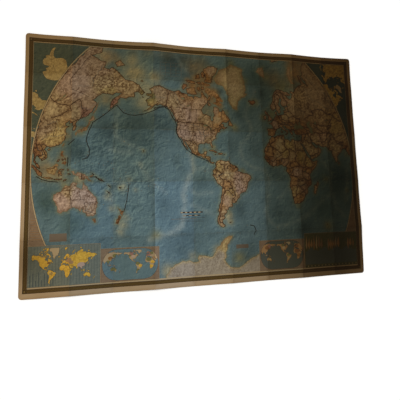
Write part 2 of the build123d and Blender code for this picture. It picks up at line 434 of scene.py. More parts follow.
    "timor": ((123.5, -10.2), (125, -8.9), (127.3, -8.3), (126.4, -9.2), (124.2, -10.4)),
    "halmahera": ((127.5, 0.6), (128, 2.1), (128.8, 1), (128.1, -0.9)),
    "seram": ((127.9, -3.1), (130.8, -3.2), (130.6, -3.9), (128.2, -3.7)),
    "new_guinea": (
        (131, -0.8), (134, -0.8), (134.9, -3.3), (137.6, -1.5), (141, -2.6), (144.5, -3.9), (145.9, -5.5),
        (147.7, -6.2), (147.1, -6.9), (148.4, -8.6), (150.8, -10.4), (147.4, -9.9), (144.6, -7.7),
        (143, -9.2), (139.2, -8.1), (138, -5.6), (135, -4.4), (133, -4), (132.2, -2.6),
    ),
    "new_britain": ((148.3, -5.6), (151.4, -4.2), (152.4, -4.4), (151.4, -5.8), (149, -6.4)),
    "new_ireland": ((150.7, -2.5), (153.2, -4.4), (152.8, -4.8)),
    "bougainville": ((154.5, -5.3), (156, -6.6), (155.4, -6.8)),
    "solomons": ((156.6, -7), (161.8, -10.2), (161, -10.6), (157.2, -8.3)),
    "new_caledonia": ((164, -20), (167.1, -22.2), (166.4, -22.5)),
    "vanuatu": ((166.5, -14.7), (167.4, -15.4), (168.6, -17.6), (167, -15.8)),
    "fiji": ((177.2, -17.5), (178.8, -17.2), (178.5, -18.3), (177.4, -18.2)),
    "hawaii": ((203.9, 20.1), (205.2, 19.6), (204.3, 18.9)),
    "australia": (
        (114.1, -21.8), (116.8, -20.6), (121, -19.5), (122.2, -17.9), (123.2, -16.5), (126, -14),
        (128.3, -14.9), (130, -14.9), (130.8, -12.4), (132.6, -11.3), (136.8, -12.2), (135.5, -14.9),
        (139.3, -17.5), (140.9, -17.4), (141.7, -14.5), (142.5, -10.7), (143.7, -14.2), (145.3, -15),
        (146.1, -18), (148.8, -20.4), (150.8, -23.2), (153.1, -25.3), (153.6, -28.7), (152.6, -32.3),
        (150.8, -34.6), (150, -37.5), (146.4, -39.1), (144.6, -38.2), (143.5, -38.8), (140.6, -38),
        (139.3, -35.8), (138.2, -35.5), (138.1, -34), (137.8, -32.6), (136, -34.9), (134.2, -32.8),
        (131.2, -31.5), (126, -32.3), (123.8, -33.9), (120, -33.9), (118, -35.1), (115.1, -34.3),
        (115.7, -31.8), (113.5, -26.3), (113.6, -23.5),
    ),
    "tasmania": ((144.7, -40.7), (148.3, -40.9), (148, -42.9), (146.4, -43.6), (145.3, -42.3)),
    "new_zealand_north": (
        (172.7, -34.5), (174.6, -36.2), (176, -37.5), (178.5, -37.7), (177.2, -39.4), (175.3, -41.6),
        (175, -40.1), (173.8, -39.3), (174.7, -37.8),
    ),
    "new_zealand_south": (
        (172.6, -40.6), (174.3, -41.6), (172.8, -43.6), (170.7, -45.9), (168.6, -46.6), (166.5, -46),
        (168.3, -44.1), (171.2, -42.4),
    ),
    "ceylon": ((79.9, 8.4), (80.2, 9.7), (81.8, 7.4), (80.6, 6), (79.8, 6.9)),
    "madagascar": (
        (49.3, -12), (50.4, -15.6), (49.4, -17.9), (47.2, -24.9), (45.3, -25.6), (43.6, -23.5),
        (44.4, -20.2), (44.2, -16.7), (46.5, -15.7),
    ),
    "sicily": ((12.4, 37.9), (15.6, 38.2), (15.1, 36.7)),
    "sardinia": ((8.2, 40.8), (9.7, 41), (9.5, 39.1), (8.5, 38.9)),
    "corsica": ((8.6, 42.4), (9.4, 43), (9.2, 41.4)),
    "crete": ((23.6, 35.5), (26.2, 35.2), (24.5, 34.9)),
    "cyprus": ((32.3, 35), (34.5, 35.6), (33, 34.6)),
    "america": (
        (-156.5, 71.3), (-149, 70.5), (-141, 69.7), (-134.5, 69.5), (-128, 70.5), (-124.5, 69.5),
        (-115.5, 68.9), (-115, 67.9), (-108.5, 68), (-107, 66.8), (-106.5, 68.4), (-98, 67.9), (-95.5, 68.2),
        (-96, 70.5), (-94.5, 72), (-92, 70.4), (-91, 69.4), (-88, 68.6), (-86.5, 67.4), (-82.5, 69.8),
        (-81.4, 68.2), (-83, 66.4), (-86.5, 66.4), (-87.5, 64.7), (-90.8, 63.2), (-94.2, 61), (-94.7, 58.8),
        (-92.5, 57), (-88, 56.6), (-82.4, 55.1), (-82, 52.9), (-80.4, 51.2), (-79, 51.6), (-79.2, 54.2),
        (-76.8, 56.4), (-78.4, 58.8), (-77.5, 60.5), (-78, 62.4), (-73.7, 62.3), (-70, 61.1), (-69.5, 59),
        (-66, 58.9), (-64.5, 60.3), (-61.9, 57.6), (-57.8, 54.6), (-55.8, 52.4), (-59, 51), (-60.2, 50.2),
        (-66, 50.2), (-69.2, 48.4), (-71, 47.1), (-68, 48.7), (-64.4, 48.8), (-65.4, 47.7), (-64.2, 46.2),
        (-61.2, 45.8), (-60.3, 47), (-60.6, 45.6), (-63.5, 44.6), (-65.7, 43.5), (-66.2, 44.4),
        (-64.9, 45.3), (-67, 44.9), (-70.4, 43.4), (-70, 41.8), (-73.8, 40.8), (-72.2, 41), (-74.1, 40.3),
        (-74.9, 39), (-76, 37.2), (-76.4, 39), (-76.3, 36.8), (-75.5, 35.3), (-77.9, 33.9), (-81, 32),
        (-81.4, 30.5), (-80.5, 28.2), (-80.2, 25.4), (-81.2, 25.2), (-82.7, 27.8), (-82.9, 29.1),
        (-84.1, 30.1), (-85.3, 29.6), (-87.5, 30.3), (-89.6, 30.2), (-89.2, 29.1), (-91.3, 29.4),
        (-94.6, 29.5), (-97.2, 27.7), (-97.4, 25.5), (-97.8, 22.3), (-96.2, 19.3), (-94.6, 18.2),
        (-91.3, 18.7), (-90.4, 20.8), (-87, 21.5), (-87.7, 19.3), (-88.7, 16), (-86, 15.9), (-83.2, 15),
        (-83.7, 11.2), (-82.2, 9.2), (-79.9, 9.4), (-77.3, 8.4), (-75.6, 10.6), (-74.2, 11.3), (-71.6, 12.4),
        (-71.5, 10.9), (-70, 11.9), (-68.2, 10.7), (-64.5, 10.2), (-61.9, 10.7), (-60.5, 8.5), (-58, 6.8),
        (-55.2, 5.9), (-52, 4.7), (-50, 1.6), (-51.2, -0.2), (-48.5, -0.8), (-44.3, -2.6), (-41.5, -2.9),
        (-38.5, -3.8), (-35.4, -5.2), (-34.8, -7.5), (-36.6, -10.7), (-38.6, -13), (-39.1, -17.2),
        (-41, -22), (-42, -23), (-46.4, -24.1), (-48.6, -26), (-48.7, -28.5), (-52.2, -32.2), (-54, -34.6),
        (-56.5, -34.8), (-58.4, -34.1), (-57.2, -36.2), (-57.8, -38.1), (-62.1, -39), (-62.4, -40.8),
        (-65, -41), (-63.8, -42.6), (-65.4, -44.2), (-67.5, -46.1), (-65.8, -47.6), (-68.9, -50.6),
        (-68.4, -52.4), (-65.2, -54.7), (-67.8, -55.8), (-71.5, -54.8), (-74.2, -52.8), (-75.4, -50.5),
        (-74.6, -46.8), (-73.2, -45), (-73, -42.3), (-74.1, -42.6), (-73.6, -39.8), (-73.5, -37),
        (-71.6, -33), (-71.5, -30), (-70.4, -25.5), (-70.3, -18.5), (-73.5, -16.2), (-76.2, -14),
        (-77.2, -12), (-79.6, -7.4), (-81.1, -6), (-81.3, -4.5), (-80, -3.1), (-80.9, -1.5), (-80, 0.8),
        (-78.7, 1.8), (-77.2, 3.9), (-77.7, 7.2), (-78.6, 8.9), (-79.6, 8.9), (-80.3, 7.5), (-83, 8.3),
        (-85, 9.9), (-85.9, 11), (-87.6, 13), (-91.5, 14), (-94.3, 16.2), (-96.5, 15.7), (-99.8, 16.8),
        (-104.3, 19.1), (-105.6, 20.4), (-105.4, 21.6), (-108.5, 25.2), (-110.8, 27.8), (-112.8, 30.1),
        (-114.7, 31.7), (-114, 29.8), (-111.4, 26.1), (-109.5, 23.2), (-110.1, 22.9), (-112.2, 25.2),
        (-115.1, 27.9), (-115.8, 30.3), (-117.1, 32.5), (-118.6, 34), (-120.6, 34.6), (-122.4, 37.4),
        (-124.4, 40.4), (-124.4, 42.9), (-124, 46.2), (-124.6, 48.3), (-122.6, 48.4), (-124.6, 50.2),
        (-127.6, 51.3), (-130.2, 54.3), (-131.5, 56), (-136.5, 58.3), (-139.7, 59.6), (-144, 60),
        (-148, 60.7), (-151.7, 59.2), (-150.8, 61.1), (-153.6, 59.2), (-156.5, 57.2), (-160.5, 55.6),
        (-164.6, 54.6), (-160.5, 56.1), (-157.3, 58.7), (-162, 58.7), (-162.2, 60), (-166, 61.7),
        (-164.6, 63), (-161, 64.4), (-166.2, 64.6), (-168, 65.6), (-162, 66.2), (-163, 67.2), (-166.7, 68.3),
        (-162.8, 69.9),
    ),
    "vancouver_island": ((-128.4, 50.8), (-125.2, 50), (-123.4, 48.4), (-125.6, 48.9)),
    "haida_gwaii": ((-133, 54.1), (-131.6, 53.6), (-131, 52)),
    "kodiak": ((-154.6, 57.3), (-152.2, 58.4), (-152.8, 57.3)),
    "saint_lawrence": ((-171.6, 63.6), (-168.9, 63.2), (-170.5, 63.2)),
    "banks": ((-123, 71.2), (-125.6, 72.3), (-124, 74.3), (-119.5, 74.1), (-117.8, 73)),
    "victoria": (
        (-117.3, 70.2), (-115, 69.3), (-105.5, 69.1), (-101.5, 69.7), (-105, 71.5), (-105.5, 73),
        (-113, 72.7), (-119, 71.7),
    ),
    "prince_of_wales": ((-102.3, 72.2), (-98, 71.5), (-97.3, 73.5), (-101.5, 73.8)),
    "somerset": ((-95.6, 72.2), (-91, 72.8), (-91.5, 74), (-95.4, 74)),
    "baffin": (
        (-66.2, 61.9), (-72.5, 63.6), (-78, 64.5), (-77.2, 65.4), (-73.5, 65.5), (-72.6, 67.6),
        (-76.5, 69.2), (-84.5, 69.9), (-89, 70.9), (-89.5, 72.2), (-87, 73.7), (-81.5, 73.7), (-80, 72.4),
        (-75.8, 72.8), (-69, 70.6), (-67, 69), (-61.8, 66.6), (-64.5, 65.4), (-67.8, 66.2), (-65, 64.4),
        (-65.2, 63), (-68.4, 63.5),
    ),
    "southampton": ((-86, 65.9), (-81, 63.8), (-84, 62.9), (-87.2, 63.7)),
    "devon": ((-80, 74.7), (-91.5, 74.7), (-96.2, 75.6), (-93, 76.7), (-89.5, 76.3), (-80.2, 75.7)),
    "ellesmere": (
        (-78, 76.3), (-89.3, 76.6), (-86.5, 78.3), (-88.5, 80.4), (-91.5, 81.8), (-80, 83), (-70, 83.1),
        (-61.5, 82.4), (-66, 81), (-74.5, 79.2),
    ),
    "axel_heiberg": ((-90, 78.5), (-88.5, 79.9), (-92.5, 81.2), (-96, 80.2), (-94.5, 78.6)),
    "ringnes": ((-98.5, 77.9), (-105.5, 77.6), (-105, 79), (-99.5, 79.9)),
    "melville": ((-105.8, 75.1), (-117, 75.2), (-122, 76), (-113, 76.4), (-106.5, 76)),
    "bathurst": ((-93.6, 75), (-101, 75.2), (-104, 75.9), (-98, 76.5)),
    "newfoundland": ((-59.2, 47.6), (-55.6, 46.9), (-53, 46.8), (-53.4, 48.7), (-55.5, 51.5), (-57.4, 50.6)),
    "greenland": (
        (-72.6, 78.3), (-66, 80.2), (-60, 82), (-45, 82.6), (-32, 83.6), (-20.5, 82.6), (-12.2, 81.5),
        (-18.3, 79.8), (-19, 76.6), (-20.5, 74.2), (-22.3, 72.2), (-26, 70.7), (-22.3, 70.2), (-28, 68.4),
        (-33, 67.9), (-39.5, 65.6), (-41.5, 63), (-43.2, 60), (-48, 60.9), (-51.2, 63.4), (-53.6, 66.8),
        (-51.5, 69.2), (-54.5, 70.5), (-55.5, 72.8), (-58.5, 75.2), (-68.5, 76.1), (-70.8, 77.4),
    ),
    "cuba": (
        (-84.9, 21.9), (-82.5, 23.1), (-80, 23), (-75.7, 21.1), (-74.2, 20.2), (-77.6, 19.9), (-78.6, 21.4),
    ),
    "hispaniola": ((-74.4, 18.4), (-73.1, 19.9), (-69.9, 19.8), (-68.4, 18.5), (-71.6, 17.7)),
    "jamaica": ((-78.3, 18.4), (-76.3, 18.1), (-77.3, 17.7)),
    "puerto_rico": ((-67.2, 18.4), (-65.7, 18.3), (-66.6, 17.9)),
    "falklands": ((-61, -51.8), (-57.8, -51.5), (-59.2, -52.3)),
    "kerguelen": ((68.8, -48.8), (70.4, -49), (69.4, -49.7)),
    "antarctica": (
        (-180, -84), (-165, -83), (-158, -80), (-155, -77.6), (-150, -77), (-147, -76.2), (-146, -75.4),
        (-141, -75.3), (-137, -74.6), (-131, -74.4), (-125, -73.6), (-121, -74.2), (-114.5, -73.9),
        (-111, -74.9), (-105, -75.1), (-101.5, -74.8), (-103, -73.4), (-100.5, -72.2), (-95, -72.6),
        (-90, -72.8), (-85, -73.5), (-81, -73.4), (-79, -72.4), (-77, -71.4), (-76, -70.4), (-75.5, -69.4),
        (-73, -68.4), (-71, -68), (-70.3, -66.9), (-68.5, -65.8), (-66, -64.2), (-62.8, -63), (-59.5, -62.2),
        (-55.6, -62.2), (-56, -63.6), (-57.5, -64.8), (-58.5, -66.2), (-61, -67.4), (-61, -68.6),
        (-61, -70.5), (-62, -72), (-60.5, -73.6), (-62.5, -75.2), (-58, -76.6), (-52, -77.8), (-46, -78),
        (-40, -78), (-36, -77.8), (-31, -76.7), (-27, -75.6), (-22, -74), (-18, -73), (-14, -72.4),
        (-11, -71.2), (-5, -70.8), (0, -69.8), (12, -69.9), (25, -70.2), (33, -69), (40, -69.2), (45, -67.7),
        (57, -66.8), (70, -68.8), (77, -69.2), (83, -66.8), (97, -65.8), (97, -89.5), (-263, -89.5),
        (-263, -65.8), (-250, -65.9), (-235, -66.7), (-220, -66.8), (-210, -68.5), (-203, -69.4),
        (-200, -70.2), (-195, -70.8), (-190, -71.5), (-191, -73.5), (-195, -75.5), (-196, -77.5),
        (-190, -78.2), (-180, -78.2),
    ),
}

# Lakes and inland seas. Each outline is closed.
LAKES = (
    (
        (27.7, 42.5), (28.6, 44.3), (30.8, 46.5), (33.5, 46), (32.6, 45.4), (33.6, 44.4), (36.5, 45.3),
        (34.9, 46.3), (39.2, 47.2), (37.5, 45.1), (41.5, 42.6), (41.4, 41.3), (38.4, 41), (35, 42),
        (31.4, 41.2), (29, 41.3),
    ),
    (
        (47.6, 45.6), (51.2, 47.1), (53, 46.8), (53.1, 45.3), (50.9, 44.5), (52.7, 42.5), (53.9, 41.2),
        (53.8, 37), (50.3, 37.1), (48.9, 38.4), (49.4, 40.4), (47.5, 43),
    ),
    ((58.5, 45), (61, 46.7), (61, 44.3), (58.6, 43.7)),
    ((103.8, 51.5), (107.5, 52.8), (109.9, 55.7), (108.5, 53.4), (105.5, 51.4)),
    ((73.8, 45.6), (78.9, 46.6), (76.5, 46.8)), ((31, 60), (31.5, 61.6), (33, 61.1), (32.5, 60)),
    ((-92, 46.7), (-88.4, 48.7), (-84.8, 46.8), (-87.4, 46.4)),
    ((-87.5, 42), (-87.8, 44.5), (-85.1, 45.8), (-86.4, 43.5)),
    ((-82.5, 43.1), (-84, 45.7), (-80, 44.9), (-81.7, 43.4)), ((-83.2, 41.7), (-79, 42.8), (-81.5, 41.6)),
    ((-79.6, 43.4), (-76.2, 44.2), (-76.5, 43.5)), ((-98.8, 53.7), (-97.5, 50.6), (-96.3, 51.4)),
    ((-111.5, 58.9), (-106.5, 59.3), (-109.5, 59.6)), ((-116.5, 61.1), (-109.1, 62.8), (-113.5, 62.4)),
    ((-124.8, 66.2), (-118, 65.8), (-121, 66.9)), ((31.8, -0.5), (33.9, 0.3), (33.7, -2.2), (32, -2.4)),
    ((29.2, -3.4), (30.9, -8.6), (30.2, -8), (29.6, -5.5)), ((34, -9.6), (34.9, -13.6), (34.3, -12)),
)

# Small islands, each printed as a dot
ISLES = (
    (-155.8, 20.9), (-157.9, 21.5), (-159.6, 22.1), (-177.4, 28.2), (-171.7, 25.8), (-168, 53.4),
    (-173.9, 52.1), (-178.6, 51.8), (-186, 52.3), (-189, 52.9), (155.9, 50.2), (152, 46.9), (147.9, 45),
    (144.8, 13.4), (145.7, 15.2), (146, 18.1), (134.5, 7.4), (138.1, 9.5), (151.7, 7.4), (158.2, 6.9),
    (163, 5.3), (167.7, 8.7), (171.3, 7.1), (173, 1.4), (175, -1), (166.9, -0.5), (179.2, -8.5),
    (-171.8, -9.2), (-172.4, -13.6), (-171, -14.3), (-175.2, -21.2), (-173.9, -18.7), (-159.8, -21.2),
    (-149.5, -17.7), (-151.5, -16.6), (-139.8, -9), (-144, -15.5), (-141, -17.7), (-136, -18.5),
    (-130.1, -25.1), (-109.4, -27.1), (-157.4, 1.9), (-174.5, -2.8), (-90.9, -0.6), (-89.6, -0.9),
    (-78.8, -33.7), (-110.9, 18.8), (-64.8, 32.3), (-78, 26.6), (-77.9, 24.4), (-75.2, 23.6), (-73, 22.4),
    (-61.6, 16.2), (-61, 14.6), (-61.2, 13.2), (-61.3, 10.4), (-28.3, 38.6), (-25.5, 37.8), (-16.9, 32.8),
    (-16.5, 28.3), (-14, 28.4), (-23.6, 15.1), (-25, 16.9), (-14.4, -7.9), (-5.7, -16), (-12.3, -37.1),
    (-36.8, -54.4), (3.4, -54.4), (55.5, -21.1), (57.6, -20.3), (55.5, -4.7), (73.2, 3.5), (72.4, -7.3),
    (43.3, -11.7), (37.8, -46.8), (51.7, -46.4), (77.5, -38.3), (73.5, -53.1), (92.8, 12.3), (93.8, 7),
    (105.6, -10.5), (96.8, -12.1), (-6.9, 62.1), (-1.3, 60.3), (-8.3, 71), (2.9, 39.6), (14.4, 35.9),
    (14.3, 57.5), (-29, -20.5), (168, -29), (159.1, -31.5), (158.9, -54.6), (166.2, -50.7), (-176.5, -44),
    (169.8, -46.9), (128.2, 26.5), (142.2, 27), (126.5, 33.4), (129.4, 28.4), (120, -9.6), (-32.4, -3.9),
    (5.6, -1.4), (6.6, 0.2), (-45.6, -60.6),
)

# Borders between lands
BORDERS = (
    (
        (-123, 49), (-109, 49), (-95.2, 49), (-89.6, 48), (-84.5, 46.5), (-82.5, 45.3), (-82.5, 42.8),
        (-79, 42.8), (-76.5, 44.1), (-74.7, 45), (-71.5, 45), (-69.2, 47.4), (-67.8, 47.1), (-67, 45),
    ),
    ((-141, 69.6), (-141, 60.3), (-137.5, 58.9), (-135, 59.5), (-130.1, 56), (-130, 55)),
    (
        (-117.1, 32.5), (-114.8, 32.5), (-111.1, 31.3), (-108.2, 31.3), (-106.5, 31.8), (-104.5, 29.6),
        (-101.4, 29.8), (-99.5, 27.5), (-97.2, 25.9),
    ),
    ((-92.2, 14.6), (-90.4, 16.1), (-91, 17.8), (-89.2, 17.8), (-88.3, 18.4)), ((-87.5, 13), (-83.2, 15)),
    ((-88.5, 15.8), (-89.4, 14.4), (-87.8, 13.4)), ((-85.7, 11.1), (-83.7, 10.9)),
    ((-82.9, 8.1), (-82.6, 9.5)), ((-71.8, 19.8), (-71.7, 18)),
    (
        (-51.6, 4.2), (-54.5, 2.3), (-56.5, 1.9), (-60.7, 5.2), (-64, 4.1), (-63.4, 2.2), (-66.9, 1.2),
        (-69.8, 1.7), (-69.4, -1), (-69.9, -4.3), (-72.9, -5.1), (-73.9, -7.5), (-70.6, -9.5), (-70.6, -11),
        (-65.4, -9.8), (-65.4, -11.5), (-60.1, -13.7), (-60.2, -16.2), (-57.6, -19), (-57.9, -22.1),
        (-55.7, -22.3), (-54.6, -25.6), (-53.7, -27.1), (-57.6, -30.2), (-55.6, -30.9), (-53.4, -33.7),
    ),
    ((-60.7, 5.2), (-60, 8.5)), ((-57.2, 6), (-56.5, 1.9)), ((-54, 5.7), (-54.5, 2.3)),
    ((-71.3, 11.8), (-72.7, 9.1), (-72, 7), (-67.5, 6.2), (-67.8, 3), (-66.9, 1.2)),
    ((-78.9, 1.4), (-75.3, -0.1), (-73, -2.4), (-70, -4.2)), ((-80.3, -3.4), (-79, -5), (-75.3, -0.1)),
    ((-69.6, -11), (-69, -15.5), (-69.5, -17.5), (-70.4, -18.3)),
    (
        (-69.5, -17.5), (-68.4, -19.5), (-67, -22.8), (-64.5, -22.2), (-62.7, -22.2), (-61.9, -19.7),
        (-58.2, -19.8),
    ),
    ((-62.7, -22.2), (-58.4, -27), (-55.8, -27.3), (-54.6, -25.6)),
    (
        (-67, -22.8), (-68.5, -27), (-69.9, -31), (-70, -34), (-71.2, -38), (-71.8, -42), (-71.6, -46),
        (-73, -49.5), (-72, -51.8), (-68.4, -52.3),
    ),
    ((-57.6, -30.2), (-58.2, -33.8)),
    (
        (-2.1, 35.1), (-1.7, 32.1), (-3.6, 30.6), (-8.7, 28.7), (-8.7, 26), (-12, 26), (-12, 23.4),
        (-13, 21.3), (-17, 21.3),
    ),
    ((-8.7, 27.3), (-4.8, 25), (-6.5, 24.9), (-5.4, 15.5), (-11.5, 15.5), (-12.2, 14.8), (-16.5, 16.1)),
    (
        (-4.8, 25), (1.2, 21.1), (3.2, 19), (4.2, 16.5), (0.2, 14.9), (-2, 14.2), (-5.4, 10.4), (-8, 10.3),
        (-11.4, 12.4), (-12.2, 14.8),
    ),
    ((3.2, 19), (5.8, 19.5), (12, 23.5), (9.5, 26.4), (9.9, 30), (9.1, 32.1), (7.5, 33.8), (8.6, 36.9)),
    ((11.5, 33.1), (10.2, 30.2)), ((12, 23.5), (14.2, 22.6), (15.9, 20.4), (15.5, 16.9), (13.5, 13.8)),
    ((25.1, 31.6), (25, 20), (24, 20), (24, 15.7), (22, 12.6), (22.9, 11), (27.4, 5.1)),
    ((14.2, 22.6), (16, 23.5), (24, 19.5)), ((25, 22), (36.9, 22)),
    ((2.7, 6.3), (2.8, 9), (3.6, 11.7), (4.1, 13.5), (9, 12.8), (13.5, 13.8)), ((1.7, 6.2), (0.9, 11)),
    ((-3.1, 5.1), (-2.9, 11), (3.6, 11.7)), ((-7.5, 4.4), (-8.4, 7.6), (-8, 10.3)),
    ((-13.3, 9), (-11.2, 10), (-10.3, 8.5), (-11.5, 6.9)), ((-16.7, 12.4), (-11.4, 12.4)),
    ((8.5, 4.8), (11.8, 7.1), (13.3, 10.1), (14.2, 12.6), (13.5, 13.8)),
    ((15.1, 10), (15.5, 7.5), (14.5, 6), (16.1, 2.2), (9.8, 2.3)), ((15.5, 7.5), (19, 9), (22.9, 11)),
    ((16.1, 2.2), (18.6, 3.5), (22.4, 4.1), (27.4, 5.1), (30.8, 3.5)),
    ((11.3, 2.3), (13.2, 2.2), (14.4, -1.9), (11.1, -3.9)),
    ((18.6, 3.5), (17.7, -0.5), (15.3, -4.3), (12.5, -5.7)),
    (
        (12.3, -6.1), (16.6, -5.9), (19.5, -7), (21.8, -7.3), (22.2, -11.1), (24, -10.9), (27.2, -11.6),
        (29.8, -12.2), (28.4, -9.2), (30.8, -8.3),
    ),
    (
        (30.8, 3.5), (31.2, 2.2), (29.7, 0.6), (29.3, -4.4), (30.8, -8.3), (32.9, -9.4), (34.6, -11.5),
        (40.4, -10.5),
    ),
    ((30.8, 3.5), (34, 4.2), (35.9, 4.6), (38.1, 3.6), (41.9, 3.9), (45, 5), (48, 8), (44, 9), (42.9, 11)),
    ((34, 4.2), (35, 1.9), (33.9, -1), (29.6, -1)), ((33.9, -1), (37.7, -3.1), (39.2, -4.7)),
    ((38.6, 18), (36.4, 14.4), (34.3, 10.5), (33, 7.8), (35.9, 4.6)),
    ((41.9, 3.9), (41, -0.9), (41.6, -1.7)),
    ((32.9, -9.4), (33.2, -14), (35.3, -17.1), (35.9, -14.9), (34.6, -11.5)),
    (
        (33.2, -14), (30.2, -15.6), (28.9, -16), (25.3, -17.8), (23.4, -17.6), (22, -16.2), (22, -13),
        (24, -13), (24, -10.9),
    ),
    ((30.2, -15.6), (33, -17.3), (32.4, -21.3), (31.3, -22.4)),
    ((25.3, -17.8), (27, -20.5), (29.4, -22.2), (31.3, -22.4), (31.9, -25.8), (32.8, -26.9)),
    ((29.4, -22.2), (26.4, -24.6), (25.6, -25.7), (22.7, -25.3), (20, -26.8)),
    ((11.8, -17.3), (18.4, -17.4), (23.4, -17.6), (21, -18.3), (20, -22), (20, -28.4), (16.5, -28.6)),
    ((-1.8, 43.4), (3.1, 42.5)), ((-8.9, 41.9), (-6.4, 41.7), (-7.4, 37.2)), ((7.5, 43.8), (6.9, 45.9)),
    ((6.9, 45.9), (10.5, 46.9), (9.5, 47.5), (7.6, 47.6), (6.1, 46.3)),
    ((7.6, 47.6), (8.2, 49), (2.5, 51.1)), ((5.8, 49.5), (6.1, 50.8), (7.2, 53.3)),
    ((8.7, 54.9), (9.9, 54.8)), ((10.9, 53.9), (11.9, 50.4), (12.1, 50.3)),
    ((14.2, 53.9), (14.8, 51), (12.1, 50.3), (13.8, 48.8), (13, 47.6), (9.5, 47.5)),
    ((13.8, 48.8), (17, 48.2), (22.2, 48.4), (22.6, 49.1), (18.8, 49.5), (14.8, 51)),
    ((22.6, 49.1), (24, 50.6), (23.6, 52.6), (22.8, 54.4), (19.8, 54.4)),
    ((22.2, 48.4), (20.3, 46.1), (16.1, 46.8), (17, 48.2)), ((13.7, 45.7), (13.7, 46.5), (16.1, 46.8)),
    ((13.7, 46.5), (10.5, 46.9)), ((22.2, 48.4), (24.9, 47.8), (28.2, 45.5), (29.7, 45.2)),
    ((20.3, 46.1), (22.7, 44.3), (27, 44.1), (28.6, 43.7)),
    ((22.7, 44.3), (22.9, 41.4), (26.3, 41.7), (28, 42)), ((22.9, 41.4), (21, 40.9), (20, 39.7)),
    ((21, 40.9), (20.5, 42.2), (19.4, 41.9)),
    (
        (11.2, 59.1), (12.3, 61), (14.2, 65), (18.1, 68.5), (20.5, 69.1), (25.7, 69.7), (28.9, 69.1),
        (30.1, 67.7), (29.6, 64.9), (31.5, 62.9), (27.8, 60.5),
    ),
    ((20.5, 69.1), (23.7, 67.9), (24.1, 65.8)), ((28.9, 69.1), (30.8, 69.8)),
    ((28.2, 56.1), (27.3, 57.5), (28, 59.4)),
    ((21, 56.1), (28.2, 56.1), (31, 54), (31.8, 52.1), (23.6, 51.6)),
    ((31.8, 52.1), (35.4, 50.4), (40.1, 49.6), (38.2, 47.1)),
    ((41.5, 41.5), (43.5, 41.1), (44.8, 39.7), (48, 39.6), (48.9, 38.4)),
    ((40, 43.5), (44, 42.6), (48.5, 41.9)),
    ((44.8, 39.7), (44.8, 37.2), (42.4, 37.1), (36.7, 36.8), (35.9, 35.9)),
    ((44.8, 37.2), (46, 35), (47.8, 31.8), (48.5, 30)),
    ((42.4, 37.1), (41, 34.4), (38.8, 33.4), (39.2, 32.1), (42, 31.1), (44.7, 29.2), (48.4, 28.6)),
    ((39.2, 32.1), (37, 31.5), (37.9, 30), (34.9, 29.4)),
    ((34.2, 31.3), (34.9, 29.5), (35.5, 32), (36, 34.6)), ((42.8, 16.4), (46.9, 17), (52, 19), (53.1, 16.6)),
    ((52, 19), (55, 20), (55.2, 22.7), (56, 24.9)),
    (
        (53.9, 37.3), (57.2, 38.2), (61.2, 36.6), (60.9, 34.3), (61.7, 31.4), (60.9, 29.8), (63, 27.2),
        (61.6, 25.2),
    ),
    (
        (61.2, 36.6), (67.8, 37.2), (71.3, 38), (74.9, 37.2), (71.5, 36.3), (69.3, 31.9), (66.3, 29.9),
        (60.9, 29.8),
    ),
    ((68.2, 23.7), (71, 24.4), (70, 27.6), (73, 30), (75.3, 32.5), (74, 34), (77.8, 35.5)),
    ((74.9, 37.2), (77.8, 35.5), (79, 33), (81.1, 30.2), (88.1, 27.9), (91.7, 27.8), (97.3, 28.3)),
    ((80.1, 29), (83, 27.4), (88.1, 26.4), (88.1, 27.9)),
    ((89, 21.8), (88.2, 24.3), (88.6, 26.3), (92.4, 25), (92.3, 21)), ((97.3, 28.3), (94.6, 25), (92.3, 21)),
    ((97.3, 28.3), (98.6, 25.5), (99.2, 22.1), (100.1, 20.4), (97.4, 18.4), (98.9, 15.9), (98.6, 10)),
    (
        (100.1, 20.4), (101.2, 17.6), (104, 18.2), (105.6, 14.4), (107.5, 14.7), (104, 20), (102.2, 22.4),
        (99.2, 22.1),
    ),
    ((102.2, 22.4), (105.3, 23.3), (108, 21.6)), ((105.6, 14.4), (102.5, 13.6), (102.9, 11.7)),
    ((107.5, 14.7), (107.5, 12.3), (104.5, 10.5)), ((100.1, 6.5), (102.1, 6.2)),
    (
        (73.7, 39.4), (80.2, 42.2), (80.2, 45), (85.7, 47.3), (87.8, 49.2), (92.3, 50.8), (98, 52),
        (102.3, 50.6), (107, 49.8), (116.7, 49.8), (120, 52.5), (123.6, 53.5), (127.5, 50), (131, 47.7),
        (134.8, 48.4), (131, 44.9), (130.6, 42.5), (128, 42), (124.4, 40),
    ),
    (
        (87.8, 49.2), (91, 46.5), (95.5, 44.2), (105, 41.6), (111.9, 43.7), (116, 46.5), (119.8, 46.8),
        (116.7, 49.8),
    ),
    ((126.6, 37.8), (128.4, 38.6)),
    ((47, 49), (55, 51), (61.5, 50.8), (61, 53.9), (71, 54.2), (77, 53.3), (80, 51), (87.3, 49.2)),
    ((56, 45), (66, 43), (71, 42.4), (80.2, 42.2)), ((56, 41.3), (60, 42), (62.4, 40), (66.5, 37.4)),
    ((109.7, 2), (112, 1.4), (115, 2.5), (115.9, 4.3), (117.9, 4.2)), ((141, -2.6), (141, -9.1)),
)

